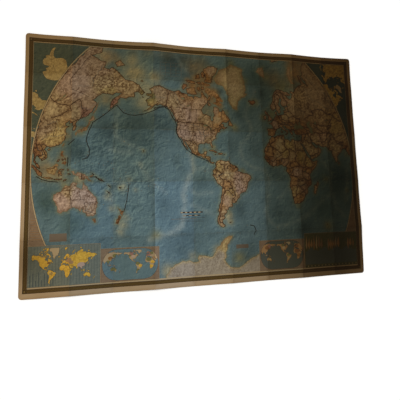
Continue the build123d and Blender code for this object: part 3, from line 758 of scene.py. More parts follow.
# Thinner borders inside lands
INNER_BORDERS = (
    ((-120, 60), (-120, 53.8), (-114.1, 49)), ((-137, 60), (-94.8, 60)), ((-110, 60), (-110, 49)),
    ((-102, 60), (-101.4, 49)), ((-95.2, 49), (-95.2, 52.8), (-89, 56.8)),
    ((-79.5, 51.5), (-79.5, 46.5), (-76, 45.4), (-74.5, 45.3)), ((-136.5, 68.8), (-132, 65), (-124, 60)),
    ((-64.5, 60.3), (-67.5, 55), (-66.5, 52.5), (-57.1, 51.4)), ((-124, 46.2), (-119, 45.9), (-117, 46)),
    ((-124.2, 42), (-111, 42)), ((-117, 49), (-117, 42)), ((-114, 42), (-114, 36.2), (-114.7, 32.7)),
    ((-120, 42), (-120, 39), (-114.6, 35)), ((-116, 49), (-116, 48), (-113.5, 44.8), (-111, 44.5)),
    ((-104, 45), (-111, 45), (-111, 41), (-102, 41), (-102, 37)), ((-104, 49), (-104, 41)),
    ((-114, 37), (-94.6, 37)), ((-109, 41), (-109, 31.3)), ((-103, 37), (-103, 32), (-106.5, 32)),
    ((-103, 36.5), (-100, 36.5), (-100, 34.5), (-94.5, 33.7)), ((-94.6, 40), (-94.5, 36.5), (-93.8, 30)),
    ((-104, 43), (-98.5, 43), (-95.8, 40.6), (-94.6, 39)), ((-102, 40), (-95.3, 40)),
    ((-104, 46), (-96.6, 46)), ((-97.2, 49), (-96.5, 43.5), (-91.2, 43.5)), ((-95.8, 40.6), (-91.4, 40.4)),
    ((-92.9, 46), (-91.2, 43.5), (-90.2, 41.8), (-91.4, 40.4), (-89.2, 37), (-91.1, 33), (-91.6, 31)),
    ((-94.6, 36.5), (-83.7, 36.6), (-75.9, 36.5)), ((-90.2, 35), (-83.1, 35), (-78.6, 33.9)),
    ((-88.2, 35), (-88.4, 30.3)), ((-85.6, 35), (-85, 31), (-81.5, 30.7)), ((-87.5, 31), (-85, 31)),
    ((-83.1, 35), (-81.1, 32.1)), ((-89.2, 37), (-85.7, 38.3), (-82.6, 38.4), (-80.6, 40.5)),
    ((-87.5, 41.7), (-87.5, 38)), ((-84.8, 41.7), (-84.8, 39.1)),
    ((-80.5, 42.2), (-80.5, 39.7), (-75.6, 39.8)), ((-79.8, 42), (-74.7, 41.4)),
    ((-73.3, 45), (-73.5, 41.1)), ((-90.6, 42.5), (-87.8, 42.5)), ((-82.5, 37.5), (-78.3, 39.5)),
    ((-64, -10), (-60, -14)), ((-58, -8), (-50, -10), (-50, -18)), ((-46, -1), (-46, -10), (-41, -16)),
    ((-52, -18), (-44, -20)), ((129, -14.9), (129, -31.7)), ((129, -26), (138, -26), (138, -16.6)),
    ((138, -26), (141, -26), (141, -38)), ((141, -29), (149, -29), (153.5, -28.2)),
    ((141, -34), (144, -35.8), (149.9, -37.5)), ((60, 69), (62, 62), (60, 56)),
    ((80, 72), (84, 63), (78, 58)), ((107, 73), (106, 62), (112, 58)), ((112, 58), (131, 56)),
    ((79, 35), (90, 36), (97, 32)), ((97, 40), (103, 33), (106, 29)), ((110, 40), (111, 30)),
    ((73, 22), (80, 20), (84, 18)), ((44, 66), (50, 60), (45, 53)),
)

# Large rivers
RIVERS = (
    ((-50.5, 0), (-55, -2.2), (-60, -3.2), (-65, -3), (-70, -4), (-74, -5), (-76, -9.5)),
    ((-60, -3.2), (-63.5, -8), (-65.5, -10.5)), ((-49.5, -1.5), (-49.5, -6), (-48.5, -12)),
    ((-58.3, -34), (-60, -31), (-58.5, -27.3), (-55, -25), (-51, -20.5)),
    ((-89.8, 29.5), (-91, 33), (-89.5, 37), (-91, 40.5), (-93, 45.5)),
    ((-90.3, 38.7), (-95, 39.2), (-97, 42.8), (-101, 46.5), (-110, 47.8)), ((-89.2, 37), (-84, 38.8)),
    ((-134.5, 69), (-128.5, 66), (-123.5, 61.8), (-117, 61.2)), ((-164, 62.7), (-156, 64.7), (-142, 65)),
    ((31.2, 31.2), (32.5, 26), (31, 21), (33.5, 18.5), (32.5, 15.6), (32, 9.5), (32.5, 1)),
    ((32.5, 15.6), (35, 11.5), (37.3, 11.7)), ((12.8, -6), (16, -2.5), (18.5, 1), (23.5, 1.5), (26.5, -4)),
    ((6, 4.5), (6.5, 8), (3.5, 12.5), (-1, 16.8), (-5, 14), (-9.5, 10)),
    ((36, -18.5), (32.5, -16), (27.5, -17), (23.5, -15)), ((48, 46), (45.5, 49), (49, 54.5), (43.5, 56.3)),
    ((69, 66.5), (66, 63), (69.5, 60.5), (81, 57), (85, 52)), ((69.5, 60.5), (70, 56), (76, 52.5)),
    ((83, 71), (87, 66), (92, 59.5), (92, 53)), ((127, 72), (125, 65.5), (129, 62), (115, 60)),
    ((141, 53), (135, 48.6), (127.5, 50)),
    ((121.5, 31.5), (113.5, 30), (106.5, 29.5), (102, 26.5), (95, 33)),
    ((119, 37.8), (113.5, 34.9), (110.5, 40.2), (106, 38), (101, 35.5)),
    ((106.5, 10), (105.5, 15), (100.3, 20.5)), ((90.5, 23.5), (87, 25.3), (80, 26), (78, 29.5)),
    ((67.8, 24.5), (70.5, 29), (73, 34.5), (79, 33)), ((48.4, 30.2), (44, 33.5), (38.5, 37)),
    ((29.5, 45.2), (22.5, 44.5), (19, 46.5), (12, 48.7)), ((139, -35.2), (142, -34.2), (147, -36)),
    ((142, -34.2), (147, -29.5)),
)

# Ocean trenches, and the island arcs along them
TRENCHES = (
    (
        (-137, 57.6), (-142, 59.2), (-148, 58.2), (-155, 55.2), (-163, 52.8), (-172, 51), (-180, 50.4),
        (-187, 50.8), (-194, 53.4), (-197, 54.4), (-201, 51.2), (-206, 47.4), (-211, 43.8), (-216, 41),
        (-216.2, 38), (-217.5, 34.5), (-218, 31), (-217.3, 27), (-215.6, 24), (-212.8, 20), (-212.3, 16),
        (-214, 12.5), (-219, 11.2),
    ),
    ((-172.3, -15), (-173, -19), (-174.8, -24), (-177, -30), (-179.5, -35), (-181.8, -38.5)),
    ((94.5, 3), (97, -2), (101, -6), (106, -9), (112, -10.6), (119, -11.2)),
    (
        (-152, 57.5), (-147, 59.3), (-141, 59.4), (-137, 57.8), (-133.5, 55), (-130.5, 52), (-127.8, 49.8),
        (-125.8, 47), (-125, 43), (-125.2, 40), (-123.2, 37), (-121.4, 34.3), (-118.4, 32), (-116.8, 29),
        (-113.6, 25.2), (-110.8, 22.2), (-106.5, 19.6), (-100, 15.8), (-94, 13.6), (-88, 11.4), (-85.2, 9),
    ),
    ((-33, -54.2), (-27, -54.8), (-23.6, -58), (-25.5, -61)), ((127, 13), (127.6, 8), (127.4, 4)),
    ((130.5, 28.5), (125.5, 23.8)), ((149, -6.6), (154, -6.2), (158, -9.6), (163, -11.4)),
)

# Ridges on the ocean floor
OCEAN_RIDGES = (
    (
        (-106, 16), (-104, 9), (-103, 2), (-107, -6), (-110, -15), (-113, -25), (-112, -35), (-115, -45),
        (-118, -53), (-130, -57), (-145, -58), (-160, -60),
    ),
    ((-112, -35), (-100, -37), (-88, -42), (-79, -45)), ((-103, 2), (-95, 2), (-86, 1)),
    ((-107, -20), (-98, -26), (-82, -24)),
    (
        (-8, 72), (-18, 67.5), (-24, 63.5), (-31, 59), (-34, 55), (-30, 50), (-29, 43), (-33, 37), (-43, 30),
        (-46, 22), (-44, 12), (-33, 4), (-16, 0), (-13, -8), (-14, -20), (-13, -32), (-15, -42), (-8, -50),
        (2, -54), (15, -52), (28, -48), (40, -43), (50, -36), (60, -30), (70, -25), (67, -18), (66, -10),
        (68, -2), (62, 5), (57, 12),
    ),
    ((70, -25), (77, -36), (90, -43)), ((89, -30), (89, -14), (90, 2)), ((0, -30), (6, -24), (12, -19)),
    ((-155, 20), (-165, 24), (-178, 28), (-189, 32), (-191, 42), (-193, 50)),
    ((-192, 20), (-180, 18.5), (-168, 18)), ((-160, 6), (-153, -4), (-143, -17), (-132, -23)),
    ((167, -25), (168, -34), (172, -39)), ((-90, 75), (-150, 84), (-214, 80)),
)

# Tints of the sea, each with its places as a longitude, a latitude, a radius on the sheet and a strength
SEA_SPOTS = {
    "deep": (
        (-165, 42, 76, 0.6), (-140, 44, 50, 0.4), (-198, 35, 40, 0.6), (-60, 30, 40, 0.3),
        (-28, 24, 34, 0.25), (-50, -40, 30, 0.5), (0, -42, 34, 0.3), (85, -8, 34, 0.6), (-92, -14, 26, 0.4),
        (-110, -60, 50, 0.3), (40, -52, 30, 0.5), (-42, 56, 24, 0.5), (-8, -2, 26, 0.2),
        (-140, -40, 40, 0.2), (-225, 18, 26, 0.6), (-150, 82, 50, 0.7), (-2, 70, 22, 0.6),
        (-95, -50, 34, 0.3), (-40, 38, 40, 0.2), (-120, 79, 26, 0.6), (-85, 59, 20, 0.3), (-66, 72, 14, 0.8),
        (-58, 67, 12, 0.6),
    ),
    "murky": (
        (-250, -26, 52, 0.85), (-236, -42, 40, 0.6), (68, -12, 60, 0.8), (60, -38, 50, 0.6),
        (-25, 62, 30, 0.5), (5, 78, 44, 0.8), (-30, 80, 20, 0.7), (-232, 24, 26, 0.5), (-66, 60, 16, 0.5),
    ),
    "shallow": (
        (-225, 34, 14, 0.9), (-236, 30, 14, 0.5), (-238, 37, 12, 0.9), (-223, -10, 16, 0.9),
        (-235, -14, 12, 0.9), (-63, -43, 12, 0.9), (-50, 45.5, 13, 0.9), (-60, 58, 9, 0.9), (3, 56, 16, 0.9),
        (-10, 54, 12, 0.9), (-14, 65, 14, 0.9), (-80, 26, 12, 0.9), (-90, 23, 10, 0.9), (-40, -74, 22, 0.9),
        (-45, 0, 9, 0.9), (60, -10, 14, 0.6), (72, -50, 18, 0.9), (24, -37, 10, 0.9), (92, 17, 10, 0.9),
        (70, 22, 8, 0.9), (90, -22, 8, 0.9), (36, 72, 36, 0.9), (22, 77, 16, 0.8), (-150, -57, 16, 0.8),
        (-133, 57, 9, 0.8), (-212, 56, 26, 0.7), (-221, 43, 16, 0.6), (-85, 59, 24, 0.5),
    ),
    "brown_shelf": (
        (-237, 31, 12, 0.4), (-252, 1, 22, 0.5), (-243, -1, 20, 0.5), (-238, 12, 14, 0.5), (-95, 74, 32, 1),
        (-110, 74, 26, 1), (-85, 79, 28, 1), (-78, 71, 22, 1), (-200, 56, 12, 0.5), (-102, 78, 22, 1),
        (-118, 76, 12, 0.9), (-80, 68, 18, 1), (-68, 63, 12, 0.7), (-85, 59, 24, 0.35), (62, 74, 34, 0.6),
        (78, 77, 30, 1), (50, 70, 14, 0.5), (-232, 76, 24, 0.3), (-226, 36, 8, 0.4), (-105, 82, 34, 0.7),
        (32, 76, 32, 0.5),
    ),
    "pale_shelf": (
        (-62, -47, 15, 0.9), (-60, -51, 13, 0.8), (-168, 61, 29, 0.8), (-172, 68, 34, 0.8),
        (-192, 73, 42, 1), (-205, 77, 27, 0.9), (-166, 74, 24, 0.9), (-160, 57, 12, 0.8),
        (-186, -48, 16, 0.7), (-190, -52, 13, 0.7), (-181, -43, 13, 0.6), (-196, -25, 14, 0.6),
        (-194, -35, 10, 0.7), (-179, -17, 15, 0.6), (-166, -20, 8, 0.4), (-172, -10, 10, 0.4),
        (-250, 5, 22, 0.5), (-249, -5, 18, 0.9), (-240, -6, 16, 0.7), (-75, -70.5, 16, 0.8),
        (-110, -72, 14, 0.7), (-150, -76, 22, 0.8), (-175, -73, 20, 0.7), (-222, -9, 14, 0.8),
        (-158, 6, 8, 0.3), (-240, 75, 27, 0.85),
    ),
    "orange": (
        (72, 74, 24, 0.9), (86, 74.5, 22, 0.8), (66, 71.5, 12, 0.6), (-212, 57, 22, 0.35),
        (-240, 75, 26, 0.5), (-226, 76, 16, 0.3), (-234, 73.5, 13, 0.5),
    ),
    "moss": ((-30, 84, 16, 0.55), (-18, 77, 14, 0.45), (-68, 80, 9, 0.5)),
    "band": (
        (-215, 80, 18, 0.25), (-195, 81.5, 22, 0.3), (-165, 83, 26, 0.35), (-130, 83.5, 26, 0.3),
        (-95, 84.5, 22, 0.25),
    ),
}

# Mountain ranges, each with a strength and half its width on the sheet
RANGES = (
    (1, 9, (
        (-152, 63), (-141, 61), (-130, 57), (-122, 52), (-115, 49), (-110, 44), (-106, 38), (-105, 30),
        (-100, 20), (-92, 15.5), (-84, 10),
    )),
    (0.7, 6, ((-122, 49), (-121, 42), (-119, 37), (-116, 33))),
    (1, 7, (
        (-73, 9), (-76, 4), (-79, -2), (-77, -9), (-72, -14), (-67.5, -19), (-68, -26), (-70, -33),
        (-72, -42), (-73, -50),
    )),
    (0.5, 5, ((-83, 35), (-78, 39), (-72, 44), (-66, 49))),
    (0.4, 8, ((-46, -22), (-42, -17))),
    (0.8, 7, ((7, 60), (13, 64), (19, 68.5))),
    (1, 5, ((6, 44.5), (10, 46.5), (15, 47.3))),
    (0.8, 4, ((15, 45), (20, 42), (23, 39))),
    (0.7, 4, ((18, 49.3), (25, 47), (24, 45.5))),
    (0.7, 3, ((-2, 43), (2.5, 42.5))),
    (0.8, 5, ((-9, 31), (-3, 33.5), (6, 35.5))),
    (0.9, 5, ((30, 38), (37, 38.5), (44, 39))),
    (1, 4, ((39, 43.8), (47, 41.6))),
    (1, 7, ((44, 37), (50, 32.5), (57, 28.5))),
    (0.7, 5, ((49, 37), (54, 36.5), (60, 36))),
    (1, 9, ((66, 34), (72, 36.5), (77, 34.5), (84, 29.5), (92, 28.5), (98, 29), (101, 25))),
    (1, 12, ((74, 38.5), (80, 35.5), (88, 34.5), (96, 34), (102, 32))),
    (0.9, 8, ((71, 41), (79, 42.5), (88, 43.5), (94, 43))),
    (0.9, 10, ((86, 49), (95, 51), (104, 52), (112, 53), (122, 56))),
    (0.9, 11, ((127, 69), (131, 64), (140, 62), (150, 65), (165, 67), (180, 67))),
    (0.6, 5, ((58, 52), (59, 58), (60.5, 64), (66, 68))),
    (0.8, 5, ((157, 52), (161, 58))),
    (0.7, 8, ((110, 33), (108, 25), (103, 22), (107, 16))),
    (0.6, 5, ((120, 49), (121, 42))),
    (0.8, 7, ((38, 13.5), (38.5, 9), (36, 0), (35, -8))),
    (0.6, 4, ((73.5, 18), (77, 10))),
    (0.6, 5, ((29.5, -30), (30.5, -24))),
    (0.5, 7, ((6, 23), (17, 20.5))),
    (0.7, 5, ((43, 20), (44.5, 14))),
    (0.7, 5, ((145.5, -18), (151, -29), (147.5, -37))),
    (0.9, 4, ((137, -4), (147, -8))),
    (0.8, 3.5, ((136, 35.5), (140, 38))),
    (1, 3.5, ((168, -45), (172.5, -42))),
    (0.7, 4, ((96, 4.5), (102, -3), (108, -7.3))),
    (0.6, 8, ((-75, 78), (-88, 80))),
    (0.6, 6, ((-64, 67), (-72, 71))),
    (0.7, 9, ((-64, -66), (-66, -72), (-75, -76))),
)

# Which tint the land has round each place
LAND_TINTS = {
    "greyed": (
        (-152, 65.5), (-147, 68), (-157, 67.5), (20, 78), (55, 73), (35, 56), (62, 57), (75, 65), (95, 62),
        (95, 72), (104, 35),
    ),
    "moss": ((-163, 62), (-161, 65)),
    "yellow": (
        (-158, 60.5), (-88, 14.5), (-74, 4), (-58.5, -23), (150, 61), (85, 40), (112, 29), (118, 33),
        (107, 14), (113, 0), (110, -7), (17, 27), (10, 18), (30, 15), (40, 9), (18, -23), (-65, -68),
    ),
    "buff": (
        (-135, 62), (-88, 52), (-73, 52), (-82, 32), (-103, 25), (-68, -45), (-56, -33), (12.5, 42.5),
        (50, 62), (65, 47), (140, 65), (155, 66), (170, 66), (88, 32), (124, 45), (78, 14), (69, 30),
        (18, 15), (27, -14), (47, -19), (53, 33), (128, -20),
    ),
    "pink": (
        (-123, 55), (-97, 63), (-75, 59), (-76, 80.5), (-104, 44), (-86, 40), (-41, -10), (-65, -33),
        (16, 64), (26, 64), (-2, 53), (128, 70), (135, 52), (143, 43), (137, -4), (146, -6.5), (-6, 8),
        (8, 9), (35, -6), (29, -20), (64, 34), (147, -36),
    ),
    "rose": (
        (-108, 55), (-116, 42), (-98, 37), (-50, -7), (-50, -20), (3, 47), (107, 66), (115, 60), (22, -2),
        (120, -26), (134, -22), (146, -24),
    ),
    "orange": (
        (-68, 57), (-62, 53), (-72, 47.5), (-112, 71), (-78, 71), (-97, 18), (-78, 21), (-57, 4),
        (-64, -16.5), (-72, -38), (11, 51), (-4, 40), (22, 44), (33, 39), (127.5, 37), (138, 37), (96, 20),
        (121, -2), (-5, 32), (-8, 20), (1, 9), (20, 7), (14, 0), (17, -12), (38, 1), (24, -30),
    ),
    "sienna": ((-100, 73), (-70, 67), (-86, 79), (-104, 77)),
    "rust": (
        (-122, 73), (-19, 65), (101, 15), (102, 0), (122, 13), (-12, 12), (37, -14), (147, -42), (174, -39),
        (170, -44),
    ),
    "cream": (
        (-44, 68), (-40, 77), (-30, 71), (-65, 7), (-62, -5), (-76, -10), (19, 52), (103, 46), (78, 23),
        (3, 28), (28, 27), (1, 17), (44, 25), (49, 24),
    ),
    "plum": ((136, 46), (158, 55)),
    "ice": (
        (-70, -74), (-110, -79), (-60, -82), (-20, -78), (20, -76), (60, -74), (-150, -82), (-165, -87),
        (80, -80),
    ),
}


def linear(colour):
    """A screen colour as the amounts of light that the shaders use."""
    return [part / 12.92 if part <= 0.04045 else ((part + 0.055) / 1.055) ** 2.4 for part in colour]


def circle_formula(longitude, latitude):
    """The formula that draws the whole world inside a circle."""
    east = math.radians(longitude - MIDDLE_LONGITUDE)
    north = math.radians(latitude)
    unit = WORLD_RADIUS / math.pi
    if abs(north) < 1e-6:
        return (WORLD_MIDDLE[0] + unit * east, WORLD_MIDDLE[1])
    turn = math.asin(min(1.0, abs(2 * north / math.pi)))
    if abs(east) < 1e-6 or abs(turn - math.pi / 2) < 1e-6:
        return (WORLD_MIDDLE[0], WORLD_MIDDLE[1] + math.copysign(WORLD_RADIUS * math.tan(turn / 2), north))
    a = 0.5 * abs(math.pi / east - east / math.pi)
    g = math.cos(turn) / (math.sin(turn) + math.cos(turn) - 1)
    p = g * (2 / math.sin(turn) - 1)
    q = a * a + g
    d = p * p + a * a
    x = (a * (g - p * p) + math.sqrt(max(0.0, a * a * (g - p * p) ** 2 - d * (g * g - p * p)))) / d
    y = abs(p * q - a * math.sqrt(max(0.0, (a * a + 1) * d - q * q))) / d
    return (
        WORLD_MIDDLE[0] + math.copysign(WORLD_RADIUS * x, east),
        WORLD_MIDDLE[1] + math.copysign(WORLD_RADIUS * y, north),
    )


# Where the printed world lies off the formula: a longitude and a latitude, and the step to the right and up
STEPS_OFF = (
    (-219, 38, 11, 0), (-233, 37, 13, 0), (-242, 24, 11, -12), (-203, 51, 16, 8), (-217, 52, 14, 4),
    (-175, 52, 6, -8), (-152, 66, 8, -5), (-125, 47, 15, -5), (-119, 34, 14, 0), (-106, 22, 13, 0),
    (-82, 8, 9, -3), (-82, 27, 8, -6), (-95, 28, 6, -6), (-86, 59, 16, -7), (-60, 53, 5, -6),
    (-70, 43, 5, -6), (-108, 49, 12, -8), (-35, 82, 6, -14), (-44, 61, 3, -4), (-80, 81, 5, -7),
    (-122, 73, 13, -2), (-80, -5, 8, 0), (-36, -7, 3, -5), (-72, -35, 7, 0), (-70, -53, 2, -4),
    (-16, 15, 4, -3), (20, -33, 9, -3), (50, 11, 6, -9), (22, 70, 10, -16), (12, 57, 3, -2),
    (-19, 65, 4, -7), (-5, 40, 9, 0), (-3, 55, 9, -8), (78, 12, -4, 1), (44, 20, -5, 1),
    (-245, -25, 9, 4), (-208, -27, 12, 2), (-226, -33, 8, -8), (-213, -42, 12, -1), (-188, -41, 11, 0),
    (-176, -22, 10, 1), (-218, -5, 10, -3), (-238, 13, 12, 0), (-255, 13, 6, 0), (-247, 1, 6, -2),
    (-60, -64, 6, 8), (-95, -75, 0, 0), (-40, -78, 0, 0),
)

# How far each known step reaches, the pull towards no step, and how fast the steps grow inwards from the rim
STEP_REACH = 62.0
STEP_REST = 0.25
STEP_FADE = 5
KNOWN_PLACES = np.array([circle_formula(east, north) for east, north, right, up in STEPS_OFF])
KNOWN_STEPS = np.array([(right, up) for east, north, right, up in STEPS_OFF], float)


def step_off(x, y):
    """The step from the formula's place to the printed one. It fades between known places and at the rim."""
    x = np.atleast_1d(x)
    y = np.atleast_1d(y)
    far = (x[:, None] - KNOWN_PLACES[:, 0]) ** 2 + (y[:, None] - KNOWN_PLACES[:, 1]) ** 2
    pull = np.exp(-far / STEP_REACH**2)
    step = pull @ KNOWN_STEPS / (pull.sum(1)[:, None] + STEP_REST)
    out = ((x - WORLD_MIDDLE[0]) ** 2 + (y - WORLD_MIDDLE[1]) ** 2) / WORLD_RADIUS**2
    return step * np.clip((1 - out) * STEP_FADE, 0, 1)[:, None]


def round_world(longitude, latitude):
    """Where a place of the main map lies on the sheet."""
    x, y = circle_formula(longitude, latitude)
    step = step_off(x, y)[0]
    return (x + step[0], y + step[1])


def degrees_at(x, y):
    """Longitudes and latitudes at places on the sheet: nearly the main map's formula turned round."""
    step = step_off(x, y)
    across = (x - step[:, 0] - WORLD_MIDDLE[0]) / WORLD_RADIUS
    up = (y - step[:, 1] - WORLD_MIDDLE[1]) / WORLD_RADIUS
    shrink = np.minimum(1.0, 0.999 / np.maximum(np.hypot(across, up), 1e-9))
    across = across * shrink
    up = up * shrink
    across = np.where(np.abs(across) < 1e-6, 1e-6, across)
    up = np.where(np.abs(up) < 1e-6, 1e-6, up)
    s = across**2 + up**2
    c1 = -np.abs(up) * (1 + s)
    c2 = c1 - 2 * up**2 + across**2
    c3 = -2 * c1 + 1 + 2 * up**2 + s**2
    d = up**2 / c3 + (2 * c2**3 / c3**3 - 9 * c1 * c2 / c3**2) / 27
    a1 = (c1 - c2**2 / (3 * c3)) / c3
    m1 = 2 * np.sqrt(np.maximum(-a1 / 3, 1e-12))
    theta = np.arccos(np.clip(3 * d / (a1 * m1), -1, 1)) / 3
    north = np.sign(up) * (-m1 * np.cos(theta + math.pi / 3) - c2 / (3 * c3))
    east = (s - 1 + np.sqrt(np.maximum(1 + 2 * (across**2 - up**2) + s**2, 0))) / (2 * across)
    return MIDDLE_LONGITUDE + 180 * east, 180 * north


def disc_world(middle, radius, longitude, latitude, reach):
    """A formula that draws the world round one place in a disc, each land at its true share of the area."""
    scale = radius / (2 * math.sin(math.radians(reach) / 2))
    middle_north = math.radians(latitude)

    def place(east, north):
        lam = math.radians(east - longitude)
        phi = math.radians(north)
        sine = math.sin(middle_north)
        cosine = math.cos(middle_north)
        nearness = sine * math.sin(phi) + cosine * math.cos(phi) * math.cos(lam)
        k = scale * math.sqrt(2 / max(1e-3, 1 + nearness))
        up = cosine * math.sin(phi) - sine * math.cos(phi) * math.cos(lam)
        return (middle[0] + k * math.cos(phi) * math.sin(lam), middle[1] + k * up)

    return place


def oval_world(middle, half_width, half_height, longitude):
    """A formula that draws the whole world in an oval with flat poles, half as wide as its middle."""

    def place(east, north):
        up = north / 90
        across = (east - longitude) / 180 * (1 + math.sqrt(max(0.0, 1 - up * up))) / 2
        return (middle[0] + half_width * across, middle[1] + half_height * up)

    return place


def stretched_world(middle, half_width):
    """A formula that draws the world in a box, with its lands stretched towards the poles."""

    def place(east, north):
        turn = math.radians(max(-FLAT_LIMIT, min(FLAT_LIMIT, north)))
        up = FLAT_STRETCH * math.log(math.tan(math.pi / 4 + 0.5 * turn))
        return (middle[0] + half_width * (east - FLAT_LONGITUDE) / 180, middle[1] + half_width * up / math.pi)

    return place


def in_box(x, y, box):
    return (x > box[0]) & (x < box[2]) & (y > box[1]) & (y < box[3])


def in_disc(x, y, middle, radius):
    return (x - middle[0]) ** 2 + (y - middle[1]) ** 2 < radius**2


def in_world(x, y):
    """Whether a place lies in the main map: in the circle, under the top frame and clear of the panels."""
    clear = in_box(x, y, PRINT_BOX) & in_disc(x, y, WORLD_MIDDLE, WORLD_RADIUS)
    for panel in PANELS:
        clear = clear & ~np.asarray(in_box(x, y, panel))
    return clear


def in_outline(x, y, outline):
    """Which of many places lie inside a closed outline."""
    corners = np.array(outline)
    low = corners.min(0)
    high = corners.max(0)
    found = np.zeros(len(x), bool)
    near = np.flatnonzero(in_box(x, y, (low[0], low[1], high[0], high[1])))
    if len(near) == 0:
        return found
    px = x[near]
    py = y[near]
    odd = np.zeros(len(near), bool)
    for (ax, ay), (bx, by) in zip(corners, np.roll(corners, -1, 0)):
        if ay == by:
            continue
        spans = (ay > py) != (by > py)
        odd ^= spans & (px < ax + (py - ay) * (bx - ax) / (by - ay))
    found[near] = odd
    return found


def keep_side(outline, limit, sign):
    """The part of a closed outline on one side of a longitude."""
    kept = []
    for start, end in zip(outline, outline[1:] + outline[:1]):
        start_in = sign * (start[0] - limit) >= 0
        if start_in:
            kept.append(start)
        if start_in != (sign * (end[0] - limit) >= 0):
            share = (limit - start[0]) / (end[0] - start[0])
            kept.append((limit, start[1] + share * (end[1] - start[1])))
    return kept


def whole_turns(outline, closed=True, middle=MIDDLE_LONGITUDE):
    """An outline in degrees, as it falls between the west and the east limit of a map."""
    west = middle - HALF_TURN
    east = middle + HALF_TURN
    found = []
    for shift in (-360.0, 0.0, 360.0):
        moved = [(longitude + shift, latitude) for longitude, latitude in outline]
        if closed:
            moved = keep_side(moved, west, 1)
            moved = keep_side(moved, east, -1) if len(moved) > 2 else []
        else:
            moved = [point for point in moved if west < point[0] < east]
        if len(moved) > 1 + closed:
            found.append(moved)
    return found


def fill_in(path, step, closed):
    """A path with more points on its long runs, so that each run follows the curve of the projection."""
    ends = path[1:] + path[:1] if closed else path[1:]
    filled = []
    for start, end in zip(path, ends):
        runs = max(1, math.ceil(max(abs(end[0] - start[0]), abs(end[1] - start[1])) / step))
        filled += [
            (start[0] + (end[0] - start[0]) * run / runs, start[1] + (end[1] - start[1]) * run / runs)
            for run in range(runs)
        ]
    return filled if closed else filled + [path[-1]]


def roughen(start, end, step, roughness, chance):
    """Points from start up to end, thrown to either side as a coast or a river wanders."""
    run = (end[0] - start[0], end[1] - start[1])
    length = math.hypot(*run)
    if length <= step:
        return [start]
    throw = chance.uniform(-roughness, roughness)
    middle = ((start[0] + end[0]) / 2 - run[1] * throw, (start[1] + end[1]) / 2 + run[0] * throw)
    return roughen(start, middle, step, roughness, chance) + roughen(middle, end, step, roughness, chance)


def wander(path, step, roughness, seed, closed):
    """A whole path on the sheet, roughened in the same way each time."""
    chance = random.Random(seed)
    ends = path[1:] + path[:1] if closed else path[1:]
    found = []
    for start, end in zip(path, ends):
        found += roughen(start, end, step, roughness, chance)
    return found if closed else found + [path[-1]]


def ring(middle, radius, count, height_share=1.0):
    """Points round a circle or an oval."""
    turns = [2 * math.pi * k / count for k in range(count)]
    return [
        (middle[0] + radius * math.cos(turn), middle[1] + radius * height_share * math.sin(turn))
        for turn in turns
    ]


def box_corners(box):
    return [(box[0], box[1]), (box[2], box[1]), (box[2], box[3]), (box[0], box[3])]


def grown(box, amount):
    """A box made larger on all sides, or smaller."""
    return (box[0] - amount, box[1] - amount, box[2] + amount, box[3] + amount)


def anywhere(x, y):
    """The test that holds at every place."""
    return np.ones_like(x, bool)


def within(*tests):
    """A test that holds where all of the given ones do."""
    def holds(x, y):
        found = tests[0](x, y)
        for test in tests[1:]:
            found = found & test(x, y)
        return found

    return holds


def box_test(box):
    return lambda x, y: in_box(x, y, box)


def outline_test(outline):
    return lambda x, y: in_outline(x, y, outline)


# The least distance between points of a line, the longest straight run of a path, and the factor that keeps a
# line's sharp corners short
LEAST_GAP = 0.05
LONGEST_RUN = 7.0
CORNER_LIMIT = 1.1


def spread_apart(path, closed):
    """A path without points that lie on the one before them."""
    kept = [point for k, point in enumerate(path) if k == 0 or math.dist(point, path[k - 1]) > LEAST_GAP]
    if closed and math.dist(kept[0], kept[-1]) < LEAST_GAP:
        kept.pop()
    return kept


def short_runs(path, closed):
    """A path whose long straight runs are divided, so that the mesh can follow the paper under them."""
    ends = path[1:] + path[:1] if closed else path[1:]
    found = []
    for start, end in zip(path, ends):
        parts = math.ceil(max(math.dist(start, end) / LONGEST_RUN, 0.01))
        found += [
            (start[0] + (end[0] - start[0]) * part / parts, start[1] + (end[1] - start[1]) * part / parts)
            for part in range(parts)
        ]
    return found if closed else found + [path[-1]]


def side_steps(path, closed):
    """For each point of a path, the step to its left that keeps a line's width round the corner."""
    points = np.array(path)
    runs = np.roll(points, -1, 0) - points
    if not closed:
        runs[-1] = runs[-2]
    runs /= np.linalg.norm(runs, axis=1)[:, None]
    left = np.stack((-runs[:, 1], runs[:, 0]), 1)
    before = np.roll(left, 1, 0)
    if not closed:
        before[0] = left[0]
    both = left + before
    return both * np.minimum(2 / np.maximum((both**2).sum(1), 1e-9), CORNER_LIMIT)[:, None]


def shown_runs(path, closed, window):
    """The runs of a path, as pairs of its places, that start or end where the window's test holds."""
    shown = window(*np.array(path).T)
    count = len(path)
    runs = [(k, (k + 1) % count) for k in range(count if closed else count - 1)]
    return [(start, end) for start, end in runs if shown[start] or shown[end]]


